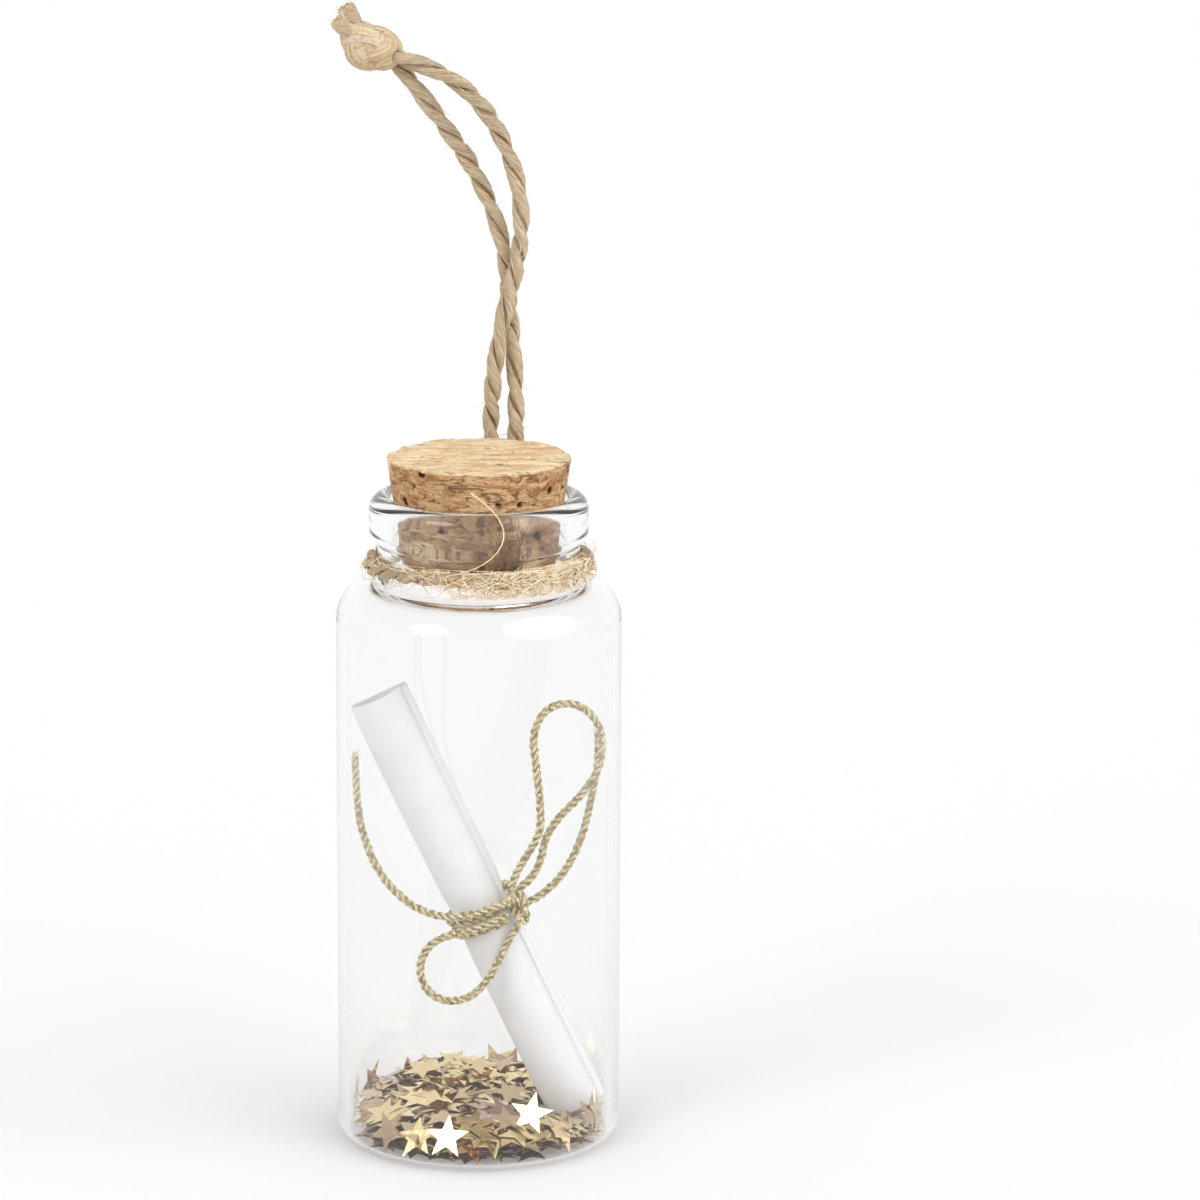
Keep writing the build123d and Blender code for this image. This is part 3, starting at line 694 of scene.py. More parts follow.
def twine_mesh(line, thickness, lay, seed, merged=0.41):
    """Two yarns of jute laid round each other, with the lay a little uneven."""
    radius = thickness / 2

    def turn_at(along):
        return seed - FULL_TURN * (along / lay + 0.09 * np.sin(along / lay * 3.1 + seed))

    return joined([
        yarn(line, radius * (1 - merged), lambda s, p=ply: turn_at(s) + p * math.pi, radius * merged,
             seed + ply * 5, 32, 1.2, (0.8, 0.2), 0.045) for ply in range(2)])


def rope_mesh(line, thickness, lay, seed):
    """Three strands of metal thread laid round each other."""
    radius = thickness / 2
    return joined([
        yarn(line, radius * 0.52, lambda s, p=ply: seed + FULL_TURN * (s / lay + p / 3), radius * 0.48,
             seed + ply * 5, 12, 1.0, (0.82, 0.26)) for ply in range(3)])


def hair_mesh(hairs, thickness, shade=0.0):
    """Loose fibres, each a fine tapering tube through a few points. shade is how dark they are."""
    curve = bpy.data.curves.new("hairs", "CURVE")
    curve.dimensions = "3D"
    curve.resolution_u = 2
    curve.bevel_depth = thickness / 2
    curve.bevel_resolution = 0
    curve.use_fill_caps = True
    for points in hairs:
        spline = curve.splines.new("NURBS")
        spline.points.add(len(points) - 1)
        for i, (target, point) in enumerate(zip(spline.points, points)):
            target.co = (*point, 1)
            target.radius = 1 - 0.6 * i / (len(points) - 1)
        spline.order_u = 3
        spline.use_endpoint_u = True
    holder = bpy.data.objects.new("hairs", curve)
    mesh = bpy.data.meshes.new_from_object(holder)
    bpy.data.objects.remove(holder)
    bpy.data.curves.remove(curve)
    set_values(mesh, "shade", np.full(len(mesh.vertices), shade))
    return mesh


def curl_from(start, heading, length, bend, draws, steps=5):
    """Points of a fibre that starts along a heading and curls steadily to one side."""
    axis = unit(np.cross(heading, draws.normal(size=3)))
    points = [start]
    for _ in range(steps):
        heading = unit(heading + np.cross(axis, heading) * bend * draws.uniform(0.5, 1.5) / steps)
        points.append(points[-1] + heading * length / steps)
    return points


def hairs_on(line, radius, count, reach, bend, draws, allowed=None, where=(0.01, 0.99)):
    """Fibres that leave a twine's surface at a slant and curl. allowed is a test that their points pass."""
    hairs = []
    for _ in range(count):
        along = np.array([draws.uniform(*where) * line.length])
        angle = np.array([draws.uniform(0, FULL_TURN)])
        start = line.around(along, angle, np.array([radius * 0.8]))[0]
        out = unit(start - line.read(line.at, along)[0])
        way = line.read(line.way, along)[0] * draws.choice((-1, 1))
        slant = draws.uniform(0.1, 0.7)
        length = reach * draws.uniform(0.3, 1.0) ** 1.5
        heading = unit(way * (1 - slant) + out * slant)
        points = curl_from(start, heading, length, bend * draws.uniform(-1, 1), draws)
        if allowed is None or all(allowed(p) for p in points[1:]):
            hairs.append(points)
    return hairs


class BOTTLE_OT_stage(bpy.types.Operator):
    """Set up the camera, the lamps, the daylight and the floor"""
    bl_idname = "bottle.stage"
    bl_label = "Stage"

    def execute(self, context):
        settings = context.scene.bottle_stage
        self.camera(settings)
        self.lamp("key_lamp", (-1.0, -0.95, 1.0), settings.key, settings.key_width)
        self.lamp("fill_lamp", (1.0, -0.5, 0.8), settings.fill, settings.fill_width)
        self.daylight(settings)
        self.floor(settings)
        context.scene.view_settings.view_transform = "Standard"
        return {"FINISHED"}

    def camera(self, settings):
        """The photograph's own view."""
        data = bpy.data.cameras.new("camera")
        data.lens = settings.lens
        data.sensor_width = 36
        data.clip_start = 0.01
        camera = bpy.data.objects.new("camera", data)
        bpy.context.scene.collection.objects.link(camera)
        aim = Euler((math.pi / 2 - settings.pitch, 0, -settings.yaw)).to_matrix().to_4x4()
        camera.matrix_world = (Matrix.Translation(settings.camera_place) @ aim
                               @ Matrix.Rotation(settings.roll, 4, "Z"))
        bpy.context.scene.camera = camera

    def lamp(self, name, side, strength, width):
        """A soft lamp a long way off on one side, which lights the floor evenly."""
        data = bpy.data.lights.new(name, "SUN")
        data.energy = strength
        data.angle = width
        lamp = bpy.data.objects.new(name, data)
        lamp.rotation_euler = Vector(side).to_track_quat("Z", "Y").to_euler()
        bpy.context.scene.collection.objects.link(lamp)

    def daylight(self, settings):
        """Even light from all round, and white behind the glass. Gloss shows pale panels with greyer gaps."""
        world = bpy.data.worlds.new("daylight")
        bpy.context.scene.world = world
        world.use_nodes = True
        finish = Finish("daylight", world.node_tree)
        seen, gloss, through = (
            finish.node("ShaderNodeLightPath", output=f"Is {ray} Ray")
            for ray in ("Camera", "Glossy", "Transmission"))
        mirrored = finish.node("ShaderNodeLightPath", output="Glossy Depth").at_most(1.0)
        entered = finish.node("ShaderNodeLightPath", output="Transmission Depth") - 2
        mirrored = mirrored * entered.at_least(0.0).at_most(1.0)
        direction = finish.node("ShaderNodeTexCoord", output="Generated")
        height = finish.node("ShaderNodeSeparateXYZ", inputs={0: direction}, output="Z")
        ceiling = finish.ramp(height, (0.3, 1.0), (0.7, 0.72))
        panels = finish.ramp(finish.noise(direction, 1.7, 1.0), (0.36, 0.5), (0.5, 1.0)) * 1.1
        bright = ceiling + mirrored * (panels - ceiling)
        shiny = gloss.at_least(through)
        plain = seen + (1 - seen) * (shiny * bright + (1 - shiny) * settings.daylight)
        background = finish.node("ShaderNodeBackground", inputs={"Color": (1, 1, 1, 1), "Strength": plain})
        finish.node("ShaderNodeOutputWorld", inputs={"Surface": background})

    def floor(self, settings):
        """A pale floor that keeps the shadow and is white in the camera's eye where nothing shades it."""
        sheet = bmesh.new()
        bmesh.ops.create_grid(sheet, x_segments=1, y_segments=1, size=settings.floor / 2)
        mesh = bpy.data.meshes.new("floor")
        sheet.to_mesh(mesh)
        sheet.free()
        floor = bpy.data.objects.new("floor", mesh)
        bpy.context.scene.collection.objects.link(floor)
        finish = Finish("floor")
        seen, gloss, through = (
            finish.node("ShaderNodeLightPath", output=f"Is {ray} Ray")
            for ray in ("Camera", "Glossy", "Transmission"))
        lift = seen.at_least(gloss).at_least(through) * settings.lift
        finish.surface(Base_Color=settings.floor_colour, Roughness=1.0, Specular_IOR_Level=0.0,
                       Emission_Color=(1, 1, 1), Emission_Strength=lift)
        mesh.materials.append(finish.material)


class BOTTLE_OT_twine(bpy.types.Operator):
    """Make the jute hanging loop, its knots and the turn round the neck"""
    bl_idname = "bottle.twine"
    bl_label = "Jute twine"

    # Half width, half depth and half height of the two knots, in millimetres
    TOP_KNOT = (3.5, 2.1, 2.6)
    BACK_KNOT = (2.8, 1.6, 1.7)
    # Where the two cut ends stop, from the top knot's middle in millimetres
    CUT_ENDS = ((-3.5, -0.6, 3.2), (-2.7, 0.6, 4.4))
    # Middle and spread, in degrees from the right towards the back, of the shaded and the matted fibres
    RISERS_AT = (-75, 4)
    MAT_AT = (-60, 24)
    # Share of the matted fibres that lie there, and where the others lie
    MAT_SHARE = 0.82
    STRAY_AT = (-178, 20)

    def execute(self, context):
        settings = context.scene.bottle_twine
        jute, fibres = jute_finish(), hair_finish()
        draws = np.random.default_rng(5)
        radius = settings.thickness / 2
        self.ends(settings, jute, jute_finish("knotted_jute", 0.55))
        knot = bpy.data.objects["top_knot_jute"]
        hairs = []
        for name, route, node, seed, tied in (
                ("loop_twine_left", LEFT_STRAND, "loop_strand_left", 0.6, [knot]),
                ("loop_twine_right", RIGHT_STRAND, "loop_strand_right", 2.1, ())):
            line = Line(spline_line(route), TWINE_STEP)
            piece = new_piece(name, twine_mesh(line, settings.thickness, settings.lay, seed), "hang_loop",
                              jute, [node])
            count = int(line.length / (10 * MM) * settings.hairs)
            hairs += hairs_on(line, radius, count, 2.1 * MM, 1.6, draws)
        hairs += self.frayed
        new_piece("loop_fibres", hair_mesh(hairs, settings.hair_thickness), "hang_loop", fibres)
        self.neck_turn(settings, jute, fibres, draws)
        return {"FINISHED"}

    def knot_mesh(self, middle, turn, size, thickness, seed):
        """A tight overhand knot of the twine. size is its half width, half depth and half height in mm."""
        step = np.linspace(0, FULL_TURN, 160)
        loop = np.stack([np.sin(step) + 2 * np.sin(2 * step), -3 * np.sin(3 * step),
                         np.cos(step) - 2 * np.cos(2 * step)], 1) / 3
        loop = (loop * (np.array(size) * MM - thickness / 2)) @ np.array(turn).T + middle
        return twine_mesh(Line(loop, KNOT_STEP), thickness, thickness * 4.4, seed, 0.2)

    def ends(self, settings, jute, knotted):
        """The knot that closes the loop, with its two cut ends, and the knot behind the neck."""
        low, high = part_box("top_knot")
        middle = (np.array(low) + np.array(high)) / 2
        tilt = Matrix.Rotation(settings.knot_tilt, 3, "Y")
        top = self.knot_mesh(middle, tilt, self.TOP_KNOT, settings.knotted, 1.4)
        new_piece("top_knot_jute", top, "hang_loop", knotted, ["top_knot"])
        meshes, self.frayed = [], []
        draws = np.random.default_rng(8)
        for side, reach in zip((-1, 1), self.CUT_ENDS):
            start = middle + np.array((-0.9 + side * 0.3, side * 0.6, 0.6)) * MM
            end = middle + np.array(reach) * MM
            line = Line(start + (end - start) * np.linspace(0, 1, 20)[:, None], KNOT_STEP)
            meshes.append(twine_mesh(line, settings.cut_thickness, settings.cut_lay, 2.0 + side, 0.3))
            self.frayed += hairs_on(line, 0.8 * MM, settings.frayed, 0.9 * MM, 1.2, draws, where=(0.8, 0.98))
        new_piece("cut_ends_jute", joined(meshes), "hang_loop", jute, ["twine_cut_ends"])
        low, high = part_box("back_knot")
        middle = (np.array(low) + np.array(high)) / 2
        back = self.knot_mesh(middle, Matrix.Identity(3), self.BACK_KNOT, settings.thickness, 0.3)
        new_piece("back_knot_jute", back, "hang_loop", jute, ["back_knot"])

    def turn_level(self, settings, angle):
        """Height of the turn round the neck, which rises a little at the front."""
        return settings.turn_height + settings.front_rise * np.maximum(-np.sin(angle), 0)

    def neck_turn(self, settings, jute, fibres, draws):
        """The twine's turn round the neck, frayed at its right front."""
        low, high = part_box("back_knot")
        radius, into_knot = settings.turn_radius, 0.5 * MM
        gap = math.asin(min((high[0] - into_knot) / radius, 1))
        start = math.pi / 2 - gap
        sweep = FULL_TURN - gap + math.asin((low[0] + into_knot) / radius)
        steps = np.linspace(start, start - sweep, 120)
        wave = 0.18 * np.sin(steps * 3 + 1) + 0.1 * np.sin(steps * 7)
        height = self.turn_level(settings, steps) + wave * MM
        ring = np.stack([radius * np.cos(steps), radius * np.sin(steps), height], 1)
        line = Line(ring, TWINE_STEP)
        thickness = settings.neck_thickness
        new_piece("neck_turn_jute", twine_mesh(line, thickness, settings.lay * 0.9, 1.1), "bottle",
                  jute, ["neck_twine"])

        def clear_of_glass(point):
            away = math.hypot(point[0], point[1])
            level = settings.mat_foot - 0.3 * MM < point[2] < settings.mat_top
            return away > settings.neck_clear - 0.05 * MM and level

        hairs = hairs_on(line, thickness / 2, settings.neck_hairs, 1.7 * MM, 2.4, draws, clear_of_glass)
        mat = self.fuzz(settings, draws)
        long_one = [np.array(point) * MM for point in LONG_FIBRE]
        fibre_mesh = joined([
            hair_mesh(hairs, settings.hair_thickness), hair_mesh(mat, settings.mat_thickness),
            hair_mesh(self.risers(settings, draws), settings.mat_thickness, 0.9),
            hair_mesh([long_one], settings.long_thickness)])
        new_piece("neck_fibres", fibre_mesh, "bottle", fibres)

    def risers(self, settings, draws):
        """Shaded fibres that stand up from the turn against the neck, right of the middle."""
        hairs = []
        for _ in range(settings.risers):
            angle = math.radians(draws.normal(*self.RISERS_AT))
            rise = draws.uniform(2.2, 6.8) * MM
            drift = draws.normal() * 0.1
            points = []
            for share in np.linspace(0, 1, 6):
                turned = angle + drift * share + math.radians(3) * math.sin(share * 4 + drift * 30)
                height = settings.turn_height + 0.4 * MM + rise * share
                lip_share = min(max((height - settings.lip_foot) / (0.8 * MM) + 1, 0), 1)
                away = settings.neck_clear + (settings.lip_clear - settings.neck_clear) * lip_share
                points.append(np.array((away * math.cos(turned), away * math.sin(turned), height)))
            hairs.append(points)
        return hairs

    def fuzz(self, settings, draws):
        """Loose fibres that mat and curl over the turn, most of them at its right front."""
        hairs = []
        for _ in range(settings.fuzz):
            gathered = draws.random() < self.MAT_SHARE
            angle = draws.normal(*self.MAT_AT) if gathered else draws.uniform(*self.STRAY_AT)
            angle = math.radians(angle)
            out = np.array((math.cos(angle), math.sin(angle), 0))
            turned = draws.uniform(0, FULL_TURN)
            spread = draws.uniform(0.4, 0.9) * MM
            start = out * (settings.turn_radius + max(math.cos(turned), -0.2) * spread)
            start[2] = self.turn_level(settings, angle) + math.sin(turned) * spread
            round_neck = np.array((-out[1], out[0], 0)) * draws.choice((-1, 1))
            heading = unit(round_neck + draws.normal(size=3) * 0.55)
            length = draws.uniform(2.0, 6.2) * MM
            points = curl_from(start, heading, length, draws.uniform(-3.2, 3.2), draws, 7)
            least = settings.turn_radius - settings.mat_inside
            most = settings.turn_radius + settings.mat_outside
            for point in points:
                away = math.hypot(point[0], point[1])
                point[:2] *= min(max(away, least), most) / away
                point[2] = min(max(point[2], settings.mat_foot), settings.mat_top)
            hairs.append(points)
        return hairs


class BOTTLE_OT_gold_cord(bpy.types.Operator):
    """Make the gold cord: its turns round the message, the knot, the bow's loops and its tails"""
    bl_idname = "bottle.gold_cord"
    bl_label = "Gold cord"

    def execute(self, context):
        settings = context.scene.bottle_cord
        gold = gold_cord_finish()
        low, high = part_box("bow_knot")
        middle = [(a + b) / 2 / MM for a, b in zip(low, high)]
        inside = (middle[0], middle[1] + 0.2, middle[2])
        upper, lower = UPPER_LOOP + [inside] + LEFT_TAIL, LOWER_LOOP + [inside] + RIGHT_TAIL
        draws = np.random.default_rng(2)
        for name, route, nodes, seed in (
                ("bow_cord_upper", upper, ["bow_upper_loop", "bow_left_tail"], 0.4),
                ("bow_cord_lower", lower, ["bow_lower_loop", "bow_right_tail"], 1.7)):
            line = Line(spline_line(route), CORD_STEP)
            rope = rope_mesh(line, settings.thickness, settings.lay, seed)
            piece = new_piece(name, joined([rope, self.frayed_end(line, settings, draws)]), "contents",
                              gold, nodes)
        self.turns(settings, gold)
        self.knot(settings, gold, np.array(middle) * MM)
        return {"FINISHED"}

    def frayed_end(self, line, settings, draws):
        """Metal threads that splay out a little where a tail is cut."""
        threads = []
        for _ in range(settings.splayed):
            heading = unit(line.way[-1] + draws.normal(size=3) * 0.22)
            start = line.at[-1] - line.way[-1] * 0.6 * MM + draws.normal(size=3) * settings.thickness * 0.14
            threads.append(curl_from(start, heading, draws.uniform(0.9, 1.6) * MM, 0.4, draws, 3))
        return hair_mesh(threads, settings.thread)

    def turns(self, settings, gold):
        """The two turns round the message, from under the knot and back to it."""
        roll = message_axis()
        turned = np.linspace(0, settings.tie_turns, 140)
        angle = settings.tie_start + turned * FULL_TURN
        along = settings.tie_height + turned * settings.tie_pitch
        ring = roll.point(along, angle, settings.tie_radius)
        new_piece("tie_turns_gold", rope_mesh(Line(ring, CORD_STEP), settings.thickness, settings.lay, 0.9),
                  "contents", gold, ["gold_cord_turns"])

    def knot(self, settings, gold, middle):
        """The bow's knot: the cord crosses itself in a tight lump."""
        roll = message_axis()
        step = np.linspace(0, FULL_TURN, 150)
        loop = np.stack([(np.sin(step) + 2 * np.sin(2 * step)) * 0.55, -0.5 * np.sin(3 * step),
                         (np.cos(step) - 2 * np.cos(2 * step)) * 0.95], 1) * settings.knot_size
        loop = loop @ np.array([roll.across, roll.back, roll.way]) + middle
        rope = rope_mesh(Line(loop, KNOT_CORD_STEP), settings.thickness * 1.05, settings.lay, 0.2)
        new_piece("bow_knot_gold", rope, "contents", gold, ["bow_knot"])


class Roll:
    """The message's own directions, worked out from the box of its solid."""

    def __init__(self, length):
        low, high = (np.array(corner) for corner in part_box("message_scroll"))
        width, height = high[0] - low[0], high[2] - low[2]
        lean = math.atan2(width, height)
        for _ in range(30):
            across = (height - length * math.cos(lean)) / max(math.sin(lean), 1e-6)
            lean = math.asin((width - across * math.cos(lean)) / length)
        self.radius = across / 2
        self.way = np.array((-math.sin(lean), 0, math.cos(lean)))
        self.across = np.array((math.cos(lean), 0, math.sin(lean)))
        self.back = np.array((0, 1.0, 0))
        self.foot = np.array((high[0] - self.radius * math.cos(lean), 0,
                              low[2] + self.radius * math.sin(lean)))

    def point(self, along, angle, radius):
        """Points by distance up the roll, angle from the right towards the front, and radius."""
        along, angle, radius = np.broadcast_arrays(along, angle, radius)
        reach = np.cos(angle)[..., None] * self.across - np.sin(angle)[..., None] * self.back
        return self.foot + along[..., None] * self.way + radius[..., None] * reach


def message_axis():
    """The message's directions at its set length."""
    return Roll(bpy.context.scene.bottle_message.length)


class BOTTLE_OT_message(bpy.types.Operator):
    """Make the rolled paper message"""
    bl_idname = "bottle.message"
    bl_label = "Paper message"

    def execute(self, context):
        settings = context.scene.bottle_message
        cord = context.scene.bottle_cord
        roll = message_axis()
        waist_at = cord.tie_height + cord.tie_pitch
        outer = settings.roll / 2

        def shape(along, turn):
            up = along * settings.length
            drawn = 1 - settings.waist * np.exp(-((up - waist_at) / settings.waist_reach) ** 2)
            edge = settings.edge_foot + (settings.edge_top - settings.edge_foot) * along
            wound = turn * settings.turns
            pressed = settings.edge_press * np.exp(-wound / 0.1)
            uneven = 1 + 0.01 * ripple(up * 90, turn * 0, wound * 2)
            radius = (outer * drawn - wound * settings.pitch) * uneven
            angle = edge - wound * FULL_TURN
            slip = 0.2 * MM * np.sin(wound * 1.1) * (turn > 0.01)
            cut = settings.slant * np.maximum(-np.sin(angle), 0) * np.clip(along * 3 - 2, 0, 1)
            return roll.point(up + slip - cut, angle, radius - pressed)

        def crease(along, turn):
            """Painted shadow: how near a point is to the sheet's outer edge, on the layer that shows beside
            it.
            """
            beyond = (turn * settings.turns - 1) * FULL_TURN * outer
            return np.exp(-(beyond / settings.edge_shadow_width) ** 2) * (np.abs(turn * settings.turns - 1) < 0.4)

        sheet = bent_grid(56, int(settings.turns * 60), shape, close=False, values={"crease": crease})
        shell = bmesh.new()
        shell.from_mesh(sheet)
        bmesh.ops.recalc_face_normals(shell, faces=shell.faces)
        bmesh.ops.solidify(shell, geom=shell.faces, thickness=settings.paper)
        bmesh.ops.recalc_face_normals(shell, faces=shell.faces)
        shell.to_mesh(sheet)
        shell.free()
        piece = new_piece("message_paper", sheet, "contents", paper_finish(), ["message_scroll"])
        crisp = piece.modifiers.new("edges", "EDGE_SPLIT")
        crisp.split_angle = math.radians(50)
        return {"FINISHED"}


class BOTTLE_OT_glass(bpy.types.Operator):
    """Make the blown glass bottle"""
    bl_idname = "bottle.glass"
    bl_label = "Glass bottle"

    def execute(self, context):
        s = context.scene.bottle_glass
        shell = bmesh.new()
        body, inner, neck, bore, lip = s.body / 2, s.body / 2 - s.wall, s.neck / 2, s.bore / 2, s.lip / 2
        centre = (body - s.shoulder, s.height - s.shoulder_drop - s.shoulder)
        outside = self.shoulder(centre, s.shoulder, body, s.neck_root, neck)
        inside = self.shoulder(centre, s.shoulder - s.wall, inner, s.bore_root, bore)
        inner_heel = s.heel - s.wall
        rest = body - s.heel - s.rest_ring
        lip_foot = s.height - s.lip_height
        corners = [
            *self.dome(rest, 0, s.kick, 6), (rest, 0, s.kick * 1.4), (body, 0, s.heel),
            *outside, (neck, lip_foot, 0.3 * MM), (lip, lip_foot + 0.6 * MM, 0.75 * MM),
            (lip, s.height, s.lip_round), (bore, s.height, s.mouth_round), *reversed(inside),
            (inner, s.base, inner_heel), *reversed(self.dome(inner - inner_heel, s.base, s.crown, 8))]
        points = [shell.verts.new((r, 0, z)) for r, z, _ in corners]
        for a, b in zip(points, points[1:]):
            shell.edges.new((a, b))
        for point, (_, _, reach) in zip(points, corners):
            if reach:
                bmesh.ops.bevel(shell, geom=[point], offset=reach, offset_type="OFFSET", segments=10,
                                profile=0.5, affect="VERTICES", clamp_overlap=False, material=-1)
        bmesh.ops.remove_doubles(shell, verts=shell.verts, dist=1e-6)
        bmesh.ops.spin(shell, geom=shell.verts[:] + shell.edges[:], cent=(0, 0, 0), axis=(0, 0, 1),
                       angle=FULL_TURN, steps=160, use_merge=True, use_duplicate=False)
        mesh = bpy.data.meshes.new("glass")
        shell.to_mesh(mesh)
        shell.free()
        weld(mesh, 1e-6)
        new_piece("blown_glass", mesh, "bottle", glass_finish(), ["glass_bottle"])
        return {"FINISHED"}

    def dome(self, edge, height, rise, steps):
        """Points of a shallow dome from the axis out, without its edge."""
        return [(edge * i / steps, height + rise * (1 - (i / steps) ** 2), 0) for i in range(steps)]

    def shoulder(self, centre, big, wall, small, neck):
        """The corners of a shoulder whose arc meets the neck's root arc, each with its bevel's reach."""
        root = (neck + small, centre[1] + math.sqrt((big + small) ** 2 - (neck + small - centre[0]) ** 2))
        out, up = ((root[i] - centre[i]) / (big + small) for i in range(2))
        touch = (centre[0] + out * big, centre[1] + up * big)
        slope = out / up
        wall_corner = (wall, touch[1] - (wall - touch[0]) * slope)
        neck_corner = (neck, touch[1] + (touch[0] - neck) * slope)
        return [(*corner, math.dist(corner, touch)) for corner in (wall_corner, neck_corner)]


class BOTTLE_OT_cork(bpy.types.Operator):
    """Make the cork stopper"""
    bl_idname = "bottle.cork"
    bl_label = "Cork stopper"

    def execute(self, context):
        settings = context.scene.bottle_cork
        low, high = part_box("cork_stopper")
        top, bottom = high[2], low[2]
        top_r = settings.top / 2
        bottom_r = top_r - math.tan(settings.taper) * (top - bottom)
        shell = bmesh.new()
        corners = [(0, bottom), (bottom_r, bottom), (top_r, top), (0, top)]
        points = [shell.verts.new((r, 0, z)) for r, z in corners]
        for a, b in zip(points, points[1:]):
            shell.edges.new((a, b))
        for point in points[1:3]:
            bmesh.ops.bevel(shell, geom=[point], offset=settings.chamfer, offset_type="OFFSET", segments=3,
                            profile=0.5, affect="VERTICES", material=-1)
        for edge in sorted(shell.edges, key=lambda e: -e.calc_length())[:3]:
            bmesh.ops.subdivide_edges(shell, edges=[edge], cuts=int(edge.calc_length() / (0.28 * MM)))
        bmesh.ops.spin(shell, geom=shell.verts[:] + shell.edges[:], cent=(0, 0, 0), axis=(0, 0, 1),
                       angle=FULL_TURN, steps=220, use_merge=True, use_duplicate=False)
        mesh = bpy.data.meshes.new("cork")
        shell.to_mesh(mesh)
        shell.free()
        weld(mesh, 1e-6)
        self.weather(mesh, settings, top, bottom, top_r)
        new_piece("cork_body", mesh, "cork", cork_finish(), ["cork_stopper"])
        return {"FINISHED"}

    def weather(self, mesh, settings, top, bottom, top_r):
        """Uneven grain and pits, pressed into the surface."""
        points = np.array([v.co[:] for v in mesh.vertices])
        normals = np.array([v.normal[:] for v in mesh.vertices])
        draws = np.random.default_rng(3)
        grain = np.array([noise.fractal(Vector(p) * 420, 0.7, 2.1, 3) for p in points])
        dent = np.zeros(len(points))
        for _ in range(settings.pits):
            angle = draws.uniform(0, FULL_TURN)
            on_top = draws.random() < 0.3
            reach = top_r * (math.sqrt(draws.random()) if on_top else 1)
            height = top if on_top else draws.uniform(bottom, top)
            slope = (top - height) * math.tan(settings.taper)
            centre = np.array(((reach - slope) * math.cos(angle), (reach - slope) * math.sin(angle), height))
            size = (0.16 + 0.42 * draws.random() ** 3) * MM
            stretch = np.array((0.5 if on_top else 0.8, 1.2, 1.0))
            away = np.linalg.norm((points - centre) * stretch, axis=1)
            depth = (0.35 + 0.65 * draws.random()) * min(size / (0.4 * MM), 1)
            dent = np.maximum(dent, depth * np.clip(1.25 - away / size, 0, 1))
        outer = np.hypot(points[:, 0], points[:, 1]) > top_r * 0.93
        rim = np.exp(-((top - points[:, 2]) / settings.rim_worn) ** 2) * outer
        varied = np.array([noise.noise(Vector(p) * 330) + noise.noise(Vector(p) * 1100) * 0.6 for p in points])
        chips = settings.chips * rim * np.clip(varied * 1.6, 0, 1)
        depth = dent * settings.pit_depth + (0.5 - 0.5 * grain) * settings.grain + chips
        moved = points - normals * depth[:, None]
        mesh.vertices.foreach_set("co", moved.ravel())
        set_values(mesh, "pit", dent)
        set_values(mesh, "top", np.clip((normals[:, 2] - 0.3) / 0.4, 0, 1))
        # How far below the lip's top a point lies, for the painted shade inside the neck
        lip_top = bpy.context.scene.bottle_glass.height
        set_values(mesh, "held", np.clip((lip_top - points[:, 2]) / (0.8 * MM), 0, 1))


